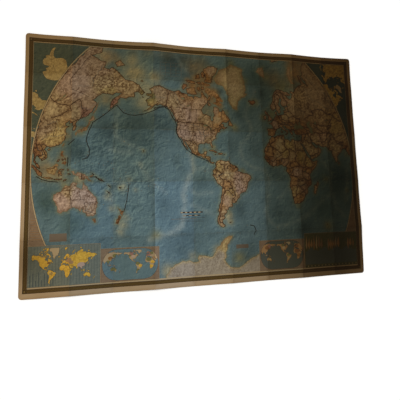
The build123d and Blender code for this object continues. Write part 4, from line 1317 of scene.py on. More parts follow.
class Artwork:
    """All that is printed on the sheet: fields of colour, one over the other, and lines over all of them."""

    def __init__(self):
        self.points = []
        self.edges = []
        self.line_pieces = []
        self.line_inks = []
        self.line_windows = []
        self.fields = []

    def field(self, ink_name, holds):
        """Gives an ink to every place for which the test holds, over the earlier fields."""
        self.fields.append((ink_name, holds))

    def cut(self, path, closed=True, window=anywhere):
        """Puts a path into the mesh, as the edge of a field."""
        path = short_runs(path, closed)
        runs = shown_runs(path, closed, window)
        numbers = self.number(runs, path, 1)
        self.edges += [(numbers[start], numbers[end]) for start, end in runs]

    def number(self, runs, points, across):
        """Adds the points that the runs use, some for each place on the path, and says where they start."""
        numbers = {}
        for place in dict.fromkeys(place for run in runs for place in run):
            numbers[place] = len(self.points)
            self.points += points[place * across : place * across + across]
        return numbers

    def shape(self, ink_name, outline, window=anywhere):
        """A field with an outline of its own."""
        self.cut(outline, True, window)
        self.field(ink_name, within(window, outline_test(outline)))

    def box(self, ink_name, box):
        self.cut(box_corners(box))
        self.field(ink_name, box_test(box))

    def stripes(self, path, offsets, inks, closed=False, window=anywhere):
        """Lines side by side along a path. Stripe k lies between offsets k and k + 1, to the path's left."""
        path = spread_apart(short_runs(path, closed), closed)
        if len(path) < 2:
            return
        points = [
            (x + step[0] * offset, y + step[1] * offset)
            for (x, y), step in zip(path, side_steps(path, closed))
            for offset in offsets
        ]
        runs = shown_runs(path, closed, window)
        numbers = self.number(runs, points, len(offsets))
        for start, end in runs:
            a = numbers[start]
            b = numbers[end]
            for stripe, ink_name in enumerate(inks):
                self.line_pieces.append((a + stripe, b + stripe, b + stripe + 1, a + stripe + 1))
                self.line_inks.append(ink_name)
                self.line_windows.append(window)

    def line(self, path, width, ink_name, closed=False, window=anywhere):
        self.stripes(path, (-width / 2, width / 2), (ink_name,), closed, window)


# The width of the finest rules of the band, as a share of a frame line, and how far they lie from its sides
FINE_RULE_SHARE = 0.7
BAND_RULE_INSET = 1.6


def print_frame(art, sizes):
    """The band round the print, with a square in each corner, and the pale strips inside it."""
    thin = sizes.frame_line / MM
    art.field("paper", anywhere)
    art.field("band", box_test(BAND_OUTSIDE))
    for x0, x1 in ((BAND_OUTSIDE[0], BAND_INSIDE[0]), (BAND_INSIDE[2], BAND_OUTSIDE[2])):
        for y0, y1 in ((BAND_OUTSIDE[1], BAND_INSIDE[1]), (BAND_INSIDE[3], BAND_OUTSIDE[3])):
            square = (x0, y0, x1, y1)
            art.box("band_corner", square)
            middle = ((x0 + x1) / 2, (y0 + y1) / 2)
            diamond = ring(middle, BAND_WIDTH * DIAMOND_SHARE, 4)
            art.shape("band_block", diamond)
            art.line(diamond, thin * FINE_RULE_SHARE, "dark", True)
    art.field("strip", box_test(BAND_INSIDE))
    art.box("sea", PRINT_BOX)
    art.line(box_corners(BAND_OUTSIDE), thin, "dark", True)
    art.line(box_corners(grown(BAND_OUTSIDE, -BAND_RULE_INSET)), thin * FINE_RULE_SHARE, "band_block", True)
    art.line(box_corners(grown(BAND_INSIDE, BAND_RULE_INSET)), thin * FINE_RULE_SHARE, "band_block", True)
    art.line(box_corners(BAND_INSIDE), thin * 2, "dark", True)


# The short rules in the lower corners: where the left ones end and the right ones start, how much shorter
# each is than the one below it, and how far they lie from the print's sides
LEFT_RULES_END = 58.0
LEFT_RULES_SLANT = 2.0
LEFT_RULES_GAP = 4.0
RIGHT_RULES_START = 1026.0
RIGHT_RULES_SLANT = 2.2
RIGHT_RULES_GAP = 3.0


def print_corners(art):
    """What lies outside the round world: a map of each pole at the top, and two ruled grounds at the foot."""
    middle_x, middle_y = WORLD_MIDDLE
    left, bottom, right, top = PRINT_BOX
    left_top = corner_test((left, middle_y, middle_x, top))
    right_top = corner_test((middle_x, middle_y, right, top))
    art.field("corner_sea", left_top)
    art.field("corner_deep", right_top)
    art.field("ground", corner_test((left, bottom, right, middle_y)))
    south = disc_world(SOUTH_MIDDLE, SOUTH_RADIUS, SOUTH_LONGITUDE, -90.0, POLE_REACH)
    print_small_world(art, south, left_top, ("yellow",), LEAST_POLE_LAND)
    north = disc_world(NORTH_MIDDLE, NORTH_RADIUS, MIDDLE_LONGITUDE, 90.0, POLE_REACH)
    near_north = within(right_top, lambda x, y: in_disc(x, y, NORTH_MIDDLE, NORTH_EDGE))
    print_small_world(art, north, near_north, ("olive",), LEAST_POLE_LAND, skip=NO_SOUTH)
    for row in range(SIDE_RULES):
        y = SIDE_RULE_START + row * SIDE_RULE_STEP
        left_end = LEFT_RULES_END - LEFT_RULES_SLANT * row
        right_start = RIGHT_RULES_START + RIGHT_RULES_SLANT * row
        art.line([(left + LEFT_RULES_GAP, y), (left_end, y)], SIDE_RULE_LINE, "sienna")
        art.line([(right_start, y), (right - RIGHT_RULES_GAP, y)], SIDE_RULE_LINE, "sienna")


def corner_test(box):
    """The part of a box that lies outside the strip round the world."""
    return lambda x, y: in_box(x, y, box) & ~in_disc(x, y, WORLD_MIDDLE, WORLD_RADIUS + WORLD_STRIP)


def print_small_world(art, place, window, inks, least, middle=None, skip=()):
    """The lands of the world by another formula, without the smallest. Returns the test for the lands."""
    tests = []
    for name, outline in COASTS.items():
        if name in skip:
            continue
        for turn in [list(outline)] if middle is None else whole_turns(outline, True, middle):
            drawn = [place(east, north) for east, north in fill_in(turn, SMALL_MAP_RUN, True)]
            kept = [drawn[0]]
            for point in drawn[1:]:
                if math.dist(point, kept[-1]) > LEAST_STEP:
                    kept.append(point)
            seen = window(*np.array(kept).T).any()
            if seen and len(kept) > 2 and max(np.ptp(np.array(kept), axis=0)) > least:
                tint = "strip" if name in PALE_LANDS else inks[sum(map(ord, name)) % len(inks)]
                tests.append(outline_test(kept))
                art.field(tint, within(window, tests[-1]))
                art.line(kept, SMALL_COAST_LINE, "dark", True, window)
    return lambda x, y: np.any([test(x, y) for test in tests], axis=0)


# The corners of a round patch, and its height as a share of its width
PATCH_CORNERS = 14
PATCH_HEIGHT_SHARE = 0.75


def print_patches(art, place, window, patches):
    """Round patches of other tints on the lands of a small map."""
    for tint, east, north, radius in patches:
        art.shape(tint, ring(place(east, north), radius, PATCH_CORNERS, PATCH_HEIGHT_SHARE), window)


# Across the edge of a panel: where its pale line starts, where its dark line starts, and where that one ends
PANEL_EDGE = (-1.2, -0.6, 0.0)


def print_panels(art, sizes):
    """Four panels along the bottom: a flat world, two oval worlds and a chart of heights."""
    for box, ground in zip(PANELS, ("panel_sea", "ground", "ground", "chart_sea")):
        art.box(ground, box)
    print_flat_world(art)
    print_oval(art, sizes, FIRST_OVAL, "globe_sea", ("buff", "greyed"), FIRST_OVAL_PATCHES)
    print_oval(art, sizes, SECOND_OVAL, "chart_floor", ("orange", "buff"), SECOND_OVAL_PATCHES)
    print_chart(art)
    for box in PANELS:
        art.stripes(box_corners(box), PANEL_EDGE, ("strip", "dark"), True)


# The flat world: its middle, from the panel's lower left corner, half its width, and its number of columns
FLAT_MIDDLE = (95.0, 38.0)
FLAT_HALF_WIDTH = 88.0
FLAT_COLUMNS = 24

# The bars on it: how many, the place of the first and the step to the next, and their heights, which swing
# above a least one
BARS = 9
FIRST_BAR = 6.0
BAR_STEP = 7.5
LEAST_BAR = 10.0
BAR_SWING = 30.0
BAR_TURN = 1.3
FIRST_BAR_TURN = 0.8


def print_flat_world(art):
    """The whole world stretched flat, over upright lines, with a row of bars on the sea at the lower left."""
    left, bottom, right = FLAT_WORLD[:3]
    box = grown(FLAT_WORLD, -1.0)
    inside = box_test(box)
    place = stretched_world((left + FLAT_MIDDLE[0], bottom + FLAT_MIDDLE[1]), FLAT_HALF_WIDTH)
    lands = print_small_world(art, place, inside, ("gold",), LEAST_PANEL_LAND, FLAT_LONGITUDE, NO_SOUTH)
    print_patches(art, place, within(inside, lands), FLAT_WORLD_PATCHES)
    water = within(inside, lambda x, y: ~lands(x, y))
    for k in range(1, FLAT_COLUMNS):
        x = left + k * (right - left) / FLAT_COLUMNS
        art.line([(x, box[1]), (x, box[3])], HAIR_LINE, "bar", False, water)
    for k in range(BARS):
        x = left + FIRST_BAR + k * BAR_STEP
        bar_top = bottom + LEAST_BAR + BAR_SWING * abs(math.sin(k * BAR_TURN + FIRST_BAR_TURN))
        art.line([(x, box[1]), (x, bar_top)], BAR_LINE, "bar", False, water)


# An oval world: the room left round it, and the degrees and the number of the steps along its sides
OVAL_MARGIN = 3.0
OVAL_STEP = 6.0
OVAL_STEPS = 30


def print_oval(art, sizes, box, water, lands, patches):
    """The whole world in an oval that nearly fills its panel."""
    left, bottom, right, top = box
    thin = sizes.frame_line / MM
    half_width = (right - left) / 2 - OVAL_MARGIN
    half_height = (top - bottom) / 2 - OVAL_MARGIN
    place = oval_world(((left + right) / 2, (bottom + top) / 2), half_width, half_height, OVAL_LONGITUDE)
    norths = [90.0 - OVAL_STEP * step for step in range(OVAL_STEPS + 1)]
    rim = [place(OVAL_LONGITUDE - HALF_TURN, north) for north in norths]
    rim += [place(OVAL_LONGITUDE + HALF_TURN, north) for north in reversed(norths)]
    art.shape(water, rim)
    inside = outline_test(rim)
    printed = print_small_world(art, place, inside, lands, LEAST_PANEL_LAND, OVAL_LONGITUDE, NO_SOUTH)
    print_patches(art, place, within(inside, printed), patches)
    art.stripes(rim, (-thin, 0.0), ("dark",), True)


# The floor in the chart of heights: the room beside it, its foot above the panel's bottom, its top below
# the panel's top, its number of runs, and the size, turn and unevenness of its hills
CHART_MARGIN = 2.0
CHART_FLOOR_FOOT = 9.0
CHART_FLOOR_DROP = 62.0
CHART_FLOOR_RUNS = 24
CHART_HILLS = 14.0
CHART_HILL_TURN = 0.55
CHART_UNEVEN = 4.0

# The peaks over it: how far their base lies below the panel's top, and the ranges of their widths, of the
# place and height of their tips as shares, of how far they reach down, and of the step to the next one as a
# share of the width
PEAK_DROP = 38.0
PEAK_WIDTHS = (6.0, 11.0)
PEAK_TIP_PLACES = (0.35, 0.65)
PEAK_TIP_HEIGHTS = (0.55, 1.0)
PEAK_DEPTHS = (6.0, 20.0)
PEAK_STEPS = (0.85, 1.2)

# The scale at its foot: its number of teeth, the room beside them, half a tooth's width, and a tooth's bottom
# and top
CHART_TEETH = 30
TEETH_INSET = 5.0
TOOTH_HALF_WIDTH = 1.2
TOOTH_BOTTOM = 2.5
TOOTH_TOP = 5.5


def print_chart(art):
    """A chart of heights and depths: the sea's floor, clusters of peaks over it, and a scale at the foot."""
    left, bottom, right, top = HEIGHTS_CHART
    chance = random.Random("peaks")
    floor_bottom = bottom + CHART_FLOOR_FOOT
    floor_top = top - CHART_FLOOR_DROP
    floor = [(left + CHART_MARGIN, floor_bottom)]
    for k in range(CHART_FLOOR_RUNS + 1):
        x = left + CHART_MARGIN + (right - left - 2 * CHART_MARGIN) * k / CHART_FLOOR_RUNS
        hill = CHART_HILLS * abs(math.sin(k * CHART_HILL_TURN))
        floor.append((x, floor_top + hill + chance.uniform(-CHART_UNEVEN, CHART_UNEVEN)))
    floor.append((right - CHART_MARGIN, floor_bottom))
    art.shape("chart_floor", floor)
    base = top - PEAK_DROP
    for start, end, tallest in CHART_CLUSTERS:
        x = left + start
        while x < left + end:
            width = chance.uniform(*PEAK_WIDTHS)
            tip_x = x + width * chance.uniform(*PEAK_TIP_PLACES)
            tip = (tip_x, base + tallest * chance.uniform(*PEAK_TIP_HEIGHTS))
            foot = (tip[0], base - chance.uniform(*PEAK_DEPTHS))
            art.shape(chance.choice(("sienna", "rust", "sienna")), [(x, base), foot, (x + width, base), tip])
            art.shape(chance.choice(("strip", "orange", "dark_cream")), [(x, base), foot, tip])
            x += width * chance.uniform(*PEAK_STEPS)
    for k in range(CHART_TEETH):
        x = left + TEETH_INSET + (right - left - 2 * TEETH_INSET) * k / (CHART_TEETH - 1)
        tooth = (x - TOOTH_HALF_WIDTH, bottom + TOOTH_BOTTOM, x + TOOTH_HALF_WIDTH, bottom + TOOTH_TOP)
        art.shape("strip" if k % 2 else "dark", box_corners(tooth))


# How far each kind of line is thrown to its sides, as a share of each run, the longest straight run of a
# trench and the width of a soft coast, as a share of a plain one's
COAST_ROUGHNESS = 0.16
LAKE_ROUGHNESS = 0.14
BORDER_ROUGHNESS = 0.12
INNER_ROUGHNESS = 0.1
RIVER_ROUGHNESS = 0.22
TRENCH_ROUGHNESS = 0.05
TRENCH_STEP = 9.0
SOFT_COAST_SHARE = 0.6


# The range of an island's size, as shares of the smallest one, its number of corners, and the range of its
# height as a share of its width
ISLE_SIZES = (0.8, 1.5)
ISLE_CORNERS = 7
ISLE_HEIGHTS = (0.6, 1.0)


def print_round_world(art, sizes):
    """The main map: the sea, the lands with their coasts, borders, rivers and islands, and the trenches."""
    art.field("sea", in_world)
    coast_step = sizes.coast_step / MM
    coasts = []
    coast_inks = []
    for name, outline in COASTS.items():
        for part, turn in enumerate(whole_turns(outline)):
            drawn = [round_world(*point) for point in fill_in(turn, COAST_RUN, True)]
            drawn = wander(drawn, coast_step, COAST_ROUGHNESS, name + str(part), True)
            field = "pale_land" if name in SMOOTH_LANDS else "land"
            art.field(field, within(in_world, outline_test(drawn)))
            coasts.append(drawn)
            coast_inks.append("soft_coast" if name in SOFT_COASTS else "coast")
    for number, outline in enumerate(LAKES):
        for turn in whole_turns(list(outline)):
            drawn = wander([round_world(*point) for point in turn], coast_step, LAKE_ROUGHNESS, number, True)
            art.field("lake", within(in_world, outline_test(drawn)))
            coasts.append(drawn)
            coast_inks.append("soft_coast")
    for isle in ISLES:
        for turn in whole_turns([isle, isle], False):
            middle = round_world(*turn[0])
            chance = random.Random(str(isle))
            radius = sizes.isle / MM * chance.uniform(*ISLE_SIZES)
            if in_world(*middle):
                outline = ring(middle, radius, ISLE_CORNERS, chance.uniform(*ISLE_HEIGHTS))
                art.field("isle", outline_test(outline))
                art.line(outline, HAIR_LINE, "dark", True, in_world)
    border_step = sizes.border_step / MM
    borders = print_lines(art, BORDERS, border_step, BORDER_ROUGHNESS, sizes.border_line / MM, "border")
    print_lines(art, INNER_BORDERS, border_step, INNER_ROUGHNESS, sizes.inner_line / MM, "border")
    print_lines(art, RIVERS, border_step, RIVER_ROUGHNESS, sizes.river_line / MM, "river")
    print_lines(art, TRENCHES, TRENCH_STEP, TRENCH_ROUGHNESS, sizes.trench_line / MM, "trench")
    for drawn, ink_name in zip(coasts, coast_inks):
        width = sizes.coast_line / MM * (1.0 if ink_name == "coast" else SOFT_COAST_SHARE)
        art.line(drawn, width, ink_name, True, in_world)
    return coasts, borders


def print_lines(art, paths, step, roughness, width, ink_name):
    """Lines on the main map along paths given in degrees."""
    printed = []
    for number, path in enumerate(paths):
        for turn in whole_turns(list(path), False):
            drawn = [round_world(*point) for point in fill_in(turn, LINE_RUN, False)]
            drawn = wander(drawn, step, roughness, f"{ink_name} {number}", False)
            art.line(drawn, width, ink_name, False, in_world)
            printed.append(drawn)
    return printed


def print_world_rim(art, sizes):
    """The pale strip round the world, with ticks across it, and the blocks and rules on the sea."""
    thin = sizes.frame_line / MM
    strip = WORLD_STRIP
    rim = ring(WORLD_MIDDLE, WORLD_RADIUS, RIM_RUNS)
    below = within(box_test(PRINT_BOX), lambda x, y: ~in_panels(x, y))
    art.stripes(rim, (-strip, -strip + thin, -thin / 2, thin / 2), ("dark", "strip", "dark"), True, below)
    for degrees in range(0, 360, RIM_TICK):
        turn = math.radians(degrees)
        ends = [
            (WORLD_MIDDLE[0] + radius * math.cos(turn), WORLD_MIDDLE[1] + radius * math.sin(turn))
            for radius in (WORLD_RADIUS, WORLD_RADIUS + strip)
        ]
        art.line(ends, thin, "dark", False, below)
    art.line([(PRINT_BOX[0], PRINT_BOX[3]), (PRINT_BOX[2], PRINT_BOX[3])], thin, "dark")
    for box in NOTE_BLOCKS:
        art.box("note", box)
    left, bottom, right, top = NOTE_TABLE
    for k in range(NOTE_TABLE_RULES):
        x = left + (right - left) * k / (NOTE_TABLE_RULES - 1)
        y = bottom + (top - bottom) * k / (NOTE_TABLE_RULES - 1)
        art.line([(x, bottom), (x, top)], RULE_LINE, "note")
        art.line([(left, y), (right, y)], HAIR_LINE, "note")
    print_scale_bars(art)


def in_panels(x, y):
    found = np.zeros(np.shape(x), bool)
    for panel in PANELS:
        found = found | in_box(x, y, panel)
    return found


def print_scale_bars(art):
    """Scale bars in the open ocean: two bars of alternating blocks, and thin rules."""
    for y, blocks, block, height in SCALE_BARS:
        left = SCALE_MIDDLE - blocks * block / 2
        for k in range(blocks):
            box = (left + k * block, y, left + (k + 1) * block, y + height)
            art.box("dark" if k % 2 else "strip", box)
        art.line(box_corners((left, y, left + blocks * block, y + height)), HAIR_LINE, "dark", True)
    for y, half in SCALE_RULES:
        art.line([(SCALE_MIDDLE - half, y), (SCALE_MIDDLE + half, y)], RULE_LINE, "dark")


# How far inside its edges the frame's sheet is sampled, how soon the paper rises beside a crease that is on
# the ground, how far that rise reaches, and the number of runs round a worn corner
SAMPLE_INSET = 1.6
CREASE_RISE = 5.0
CREASE_REACH = 26.0
CORNER_RUNS = 5

# The bulges of old paper: what is added to their noise, how strong it is, and the size and strength of the
# fine ones among them
BULGE_START = 0.15
BULGE_STRENGTH = 2.0
FINE_BULGE_SIZE = 0.4
FINE_BULGE_STRENGTH = 0.12


def crease_places(length, first, pitch, narrowest):
    """The start of a side, every crease along it and its end."""
    places = [0.0, first]
    while places[-1] + pitch < length - narrowest:
        places.append(places[-1] + pitch)
    return places + [length]


class PaperShape:
    """The height of the paper over the flat sheet, read from the frame's own sheet."""

    def __init__(self, sizes):
        narrowest = sizes.narrowest_panel / MM
        self.columns = crease_places(SHEET_WIDTH, sizes.first_column / MM, sizes.column_pitch / MM, narrowest)
        self.rows = crease_places(SHEET_DEPTH, sizes.first_row / MM, sizes.row_pitch / MM, narrowest)
        self.valleys = self.columns[2:-1:2]
        self.valley = sizes.valley / MM
        self.cockle = sizes.cockle / MM
        self.cockle_length = sizes.cockle_length / MM
        self.tree = BVHTree.FromObject(frame_sheet(), bpy.context.evaluated_depsgraph_get())
        self.grid = [[self.sample(x, y) for y in thirds(self.rows)] for x in thirds(self.columns)]

    def sample(self, x, y):
        """Height of the underside, in millimetres, by a ray from below."""
        x = min(max(x, SAMPLE_INSET), SHEET_WIDTH - SAMPLE_INSET)
        y = min(max(y, SAMPLE_INSET), SHEET_DEPTH - SAMPLE_INSET)
        start = Vector((SHEET_LOW.x + x * MM, SHEET_LOW.y + y * MM, -1.0))
        hit = self.tree.ray_cast(start, Vector((0.0, 0.0, 1.0)))[0]
        return (hit.z - SHEET_LOW.z) / MM

    def height(self, x, y):
        """Height of the underside at a place: the frame's sheet, with the creases and bulges of old paper."""
        column, across = panel_share(self.columns, x)
        row, along = panel_share(self.rows, y)
        weights = cubic_weights(along)
        total = 0.0
        for step, weight in enumerate(cubic_weights(across)):
            line = self.grid[3 * column + step][3 * row : 3 * row + 4]
            total += weight * sum(w * z for w, z in zip(weights, line))
        nearest = min(abs(x - valley) for valley in self.valleys)
        fold = self.valley * (1 - math.exp(-nearest / CREASE_RISE)) * math.exp(-nearest / CREASE_REACH)
        swell = noise.noise(Vector((x, y, 0.0)) / self.cockle_length)
        fine = noise.noise(Vector((x, y, 50.0)) / (FINE_BULGE_SIZE * self.cockle_length))
        bulge = max(0.0, swell + BULGE_START) ** 2 * BULGE_STRENGTH + FINE_BULGE_STRENGTH * max(0.0, fine)
        return max(0.0, total) + fold + self.cockle * bulge


def frame_sheet():
    """The frame's own sheet."""
    return next(thing for thing in bpy.data.objects if thing.get("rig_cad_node") == "map_sheet")


def thirds(places):
    """The places along a side where panels start and end, with two more in each panel."""
    found = [places[0]]
    for start, end in zip(places, places[1:]):
        found += [start + (end - start) * step / 3 for step in (1, 2, 3)]
    return found


def panel_share(places, value):
    """Which panel a place is in, and how far across it."""
    panel = min(max(bisect.bisect_right(places, value) - 1, 0), len(places) - 2)
    return panel, (value - places[panel]) / (places[panel + 1] - places[panel])


def cubic_weights(t):
    """The shares of four heights, a third of a panel apart, in the height between them."""
    a = 3 * t - 1
    b = 3 * t - 2
    c = t - 1
    return (-a * b * c / 2, 9 * t * b * c / 2, -9 * t * a * c / 2, t * a * b / 2)


def mesh_places(creases, step, half, margin):
    """Lines of mesh points along one side: even between the creases, and close beside each of them."""
    found = []
    for number, (start, end) in enumerate(zip(creases, creases[1:])):
        first = margin if number == 0 else start + half
        last = end - margin if number == len(creases) - 2 else end - half
        count = max(1, round((last - first) / step))
        found += [first + (last - first) * k / count for k in range(count)] + [last]
        if number < len(creases) - 2:
            found.append(end)
    return found


def rim_points(xs, ys, corner):
    """The edge of the sheet, anticlockwise from the lower left corner, with the corners worn round."""
    far_x = SHEET_WIDTH - corner
    far_y = SHEET_DEPTH - corner
    middles = ((corner, corner), (far_x, corner), (far_x, far_y), (corner, far_y))
    inner_x = [x for x in xs if corner < x < far_x]
    inner_y = [y for y in ys if corner < y < far_y]
    sides = (
        [(x, 0.0) for x in inner_x],
        [(SHEET_WIDTH, y) for y in inner_y],
        [(x, SHEET_DEPTH) for x in reversed(inner_x)],
        [(0.0, y) for y in reversed(inner_y)],
    )
    found = []
    for number, (middle, side) in enumerate(zip(middles, sides)):
        for step in range(CORNER_RUNS + 1):
            turn = math.pi * (1 + number / 2) + math.pi / 2 * step / CORNER_RUNS
            found.append((middle[0] + corner * math.cos(turn), middle[1] + corner * math.sin(turn)))
        found += side
    return found


def base_points(shape, sizes):
    """The points of the bare sheet: its rim first, then its inside, and the edges along its creases."""
    corner = sizes.corner / MM
    step = sizes.mesh_step / MM
    half = sizes.crease_half / MM
    margin = corner + 0.5
    xs = mesh_places(shape.columns, step, half, margin)
    ys = mesh_places(shape.rows, step, half, margin)
    rim = rim_points(xs, ys, corner)
    inside = [(x, y) for x in xs for y in ys]
    place = {}
    for number, point in enumerate(rim + inside):
        place.setdefault(point, number)
    edges = []
    for x in [crease + side for crease in shape.columns[1:-1] for side in (-half, 0.0, half)]:
        run = [place[(x, y)] for y in [0.0] + ys + [SHEET_DEPTH]]
        edges += list(zip(run, run[1:]))
    for y in [crease + side for crease in shape.rows[1:-1] for side in (-half, 0.0, half)]:
        run = [place[(x, y)] for x in [0.0] + xs + [SHEET_WIDTH]]
        edges += list(zip(run, run[1:]))
    return rim, inside, edges


def triangles(points, edges):
    """Cuts the flat sheet into triangles along all the given edges."""
    made = delaunay_2d_cdt([Vector(point) for point in points], edges, [], 0, 1e-3, True)
    return np.array([tuple(point) for point in made[0]]), made[2], made[3]


# How strongly each kind of print takes the land's texture, the sea's texture and the net of degrees
COVER = {
    "land": (1.0, 0.0, 0.55),
    "pale_land": (0.5, 0.0, 0.55),
    "sea": (0.0, 1.0, 1.0),
    "lake": (0.0, 0.3, 0.0),
    "coast": (0.5, 0.0, 0.0),
    "border": (0.5, 0.0, 0.0),
    "ground": (0.25, 0.0, 0.0),
    "olive": (0.8, 0.1, 0.0),
    "corner_sea": (0.0, 1.0, 0.0),
    "corner_deep": (0.0, 0.6, 0.0),
    "gold": (0.4, 0.0, 0.0),
    "cream": (0.5, 0.0, 0.0),
    "yellow": (0.6, 0.0, 0.0),
    "sienna": (0.4, 0.0, 0.0),
    "panel_sea": (0.0, 0.6, 0.0),
    "globe_sea": (0.0, 0.6, 0.0),
    "chart_sea": (0.2, 0.6, 0.0),
}

# Tints of the panels, from the left column to the right one and from the bottom row to the top one. They are
# partly aged paper and partly painted shade: darker towards the right and the top where the light falls off,
# and stepping at the creases where the panels face the light differently.
COLUMN_TINTS_AND_SHADE = (
    (1.03, 0.99, 0.92),
    (0.97, 0.98, 0.98),
    (0.98, 0.97, 0.93),
    (1.03, 1.04, 1.06),
    (0.99, 0.98, 0.95),
    (0.90, 0.88, 0.84),
    (0.77, 0.74, 0.67),
    (0.63, 0.58, 0.49),
    (0.51, 0.46, 0.37),
)
ROW_TINTS_AND_SHADE = ((1.0, 1.0, 1.01), (1.03, 1.04, 1.06), (0.97, 0.96, 0.93), (0.88, 0.85, 0.78), (0.81, 0.77, 0.68))

# How much of the change from panel to panel is a sharp step at the crease
TONE_STEP = 0.85


def panel_tones(values, creases, tints_and_painted_light):
    """The tint and painted shade at places along one side: part of it steps at the creases, and the rest
    changes smoothly.
    """
    panels = np.clip(np.searchsorted(creases, values) - 1, 0, len(tints_and_painted_light) - 1)
    middles = (np.array(creases[1:]) + np.array(creases[:-1])) / 2
    tints_and_painted_light = np.array(tints_and_painted_light)
    smooth = np.stack([np.interp(values, middles, tints_and_painted_light[:, part]) for part in range(3)], 1)
    return smooth + (tints_and_painted_light[panels] - smooth) * TONE_STEP


# Where the sea has many small islands and seamounts: a longitude, a latitude, a radius and a strength
SEAMOUNTS = (
    (150, 8, 50, 1.0), (165, 2, 55, 1.0), (172, 14, 50, 1.0), (178, -14, 45, 1.0), (158, 22, 45, 1.0),
    (-160, 4, 40, 0.9), (-170, -8, 45, 1.0), (-150, -17, 38, 0.9), (-136, -20, 26, 0.8), (168, -20, 40, 1.0),
    (145, 18, 34, 1.0), (-158, 21, 26, 0.9), (175, 38, 30, 0.9), (-32, 35, 18, 0.8), (-14, -5, 16, 0.8),
    (60, -10, 26, 0.8), (75, -5, 22, 0.8), (90, -15, 22, 0.8), (-70, 22, 14, 0.8), (-92, 0, 14, 0.8),
    (-150, 30, 40, 0.6), (-145, 50, 30, 0.6), (-170, -35, 50, 0.5), (-120, 10, 30, 0.5),
)

# Soft spots where the paper is darker, partly browned and partly painted shade where the light falls off: a
# place on the sheet, a radius, and how much
BROWNED_AND_SHADED = (
    (1000.0, 280.0, 190.0, 0.37), (830.0, 460.0, 110.0, 0.26), (720.0, 600.0, 110.0, 0.24),
    (950.0, 60.0, 110.0, 0.30), (672.0, 92.0, 34.0, 0.14), (815.0, 180.0, 130.0, 0.16),
    (740.0, 400.0, 110.0, 0.12), (600.0, 680.0, 50.0, 0.14), (480.0, 470.0, 60.0, 0.10),
    (20.0, 100.0, 60.0, 0.22), (1062.0, 742.0, 40.0, 0.12), (1078.0, 590.0, 40.0, 0.20),
)

# How much more or less than its share each of red, green and blue goes in those browned and shaded spots
BROWN_AND_SHADE_PULL = (0.94, 1.0, 1.16)


def browning(points):
    """The share of each colour that is left in the browned spots and their painted shade. Blue goes first."""
    left = np.ones((len(points), 3))
    for x, y, radius, amount in BROWNED_AND_SHADED:
        near = np.exp(-(((points[:, 0] - x) ** 2 + (points[:, 1] - y) ** 2) / radius**2))
        left *= 1 - near[:, None] * amount * np.array(BROWN_AND_SHADE_PULL)
    return left


# Painted light and shade beside a crease, a paler strip where a flank would face the lamp and a darker one on
# the other side: the crease, its paler side, the strip's start and end, and how much
PAINTED_CREASE_LIGHT = (
    (370.0, 1, 60.0, 330.0, 0.16), (610.0, -1, 560.0, 735.0, 0.14), (130.0, 1, 120.0, 420.0, 0.07),
    (850.0, -1, 500.0, 735.0, 0.10), (610.0, 1, 60.0, 300.0, 0.08), (370.0, -1, 480.0, 735.0, 0.10),
)


# How far the painted light reaches on its own side and the painted shade on the other side, and how softly
# the strip's ends fade
PAINTED_LIGHT_REACH = 16.0
PAINTED_SHADE_REACH = 10.0
PAINTED_LIGHT_ENDS = 30.0


def crease_fading(points):
    """Painted light and shade: how much paler or darker each place is for lying beside a crease."""
    total = np.ones(len(points))
    for crease, side, start, end, amount in PAINTED_CREASE_LIGHT:
        away = (points[:, 0] - crease) * side
        along = np.clip(np.minimum(points[:, 1] - start, end - points[:, 1]) / PAINTED_LIGHT_ENDS, 0, 1)
        paler = np.exp(-np.maximum(away, 0) / PAINTED_LIGHT_REACH)
        darker = -0.5 * np.exp(np.minimum(away, 0) / PAINTED_SHADE_REACH)
        total += amount * along * np.where(away > 0, paler, darker)
    return total


def shade(colour, share):
    return tuple(part * share for part in colour)


def ink_table(inks):
    """The screen colour of every flat ink: those of the settings, and shades of them."""
    table = {name: tuple(getattr(inks, name)) for name in inks.__annotations__}
    table.update(
        coast=shade(inks.dark, 1.1),
        border=shade(inks.dark, 1.25),
        isle=tuple(inks.buff),
        lake=tuple(inks.shallow),
        note=tuple(inks.block),
        band_corner=shade(inks.band, 0.85),
        corner_deep=shade(inks.corner_sea, 0.8),
        dark_cream=shade(inks.cream, 0.68),
        globe_sea=tuple(inks.sea),
        chart_sea=shade(inks.moss, 0.77),
        chart_floor=shade(inks.panel_sea, 0.78),
    )
    return table


def tree_of(paths):
    """A search tree of all the points of some paths."""
    points = [point for path in paths for point in path]
    tree = KDTree(len(points))
    for number, point in enumerate(points):
        tree.insert((point[0], point[1], 0.0), number)
    tree.balance()
    return tree


def closeness(points, tree, reach):
    """1 at the points of a tree, falling smoothly to 0 over a distance."""
    far = np.array([tree.find((x, y, 0.0))[2] for x, y in points])
    return np.exp(-((far / reach) ** 2))


# How quickly a soft spot fades towards its radius
SPOT_FALL = 1.2


def spots(points, places):
    """How strongly each point lies in soft round spots: a longitude, a latitude, a radius and a strength."""
    total = np.zeros(len(points))
    for east, north, radius, strength in places:
        for turn in whole_turns([(east, north)] * 2, False):
            x, y = round_world(*turn[0])
            far = np.hypot(points[:, 0] - x, points[:, 1] - y)
            total = np.maximum(total, strength * np.exp(-((far / radius) ** 2) * SPOT_FALL))
    return total


def blend(colours, other, amount):
    """Colours moved towards another one, each by its own amount."""
    return colours + (np.array(other) - colours) * amount[:, None]


# The tints of the sea, from the first laid down to the last
SEA_ORDER = (
    "deep", "murky", "ridge", "shallow", "shore", "pale_shelf", "brown_shelf", "orange", "moss", "band",
)

# How strong the broad swings, the ridges and the shores are, how much wider the first ridge is than the
# others, and how uneven the ridges and the spots are
DEEP_SWING = 0.35
MAIN_RIDGE = 0.8
MAIN_RIDGE_WIDENING = 1.3
OTHER_RIDGES = 0.38
SHORE_STRENGTH = 0.55
RIDGE_WOBBLE = 0.6
SPOT_WOBBLE = 0.3

# The size on the sheet of the unevenness in the sea's tints, of its broad swings, and of the unevenness on
# land
SEA_WOBBLE_SIZE = 16.0
SEA_SWING_SIZE = 42.0
LAND_WOBBLE_SIZE = 9.0


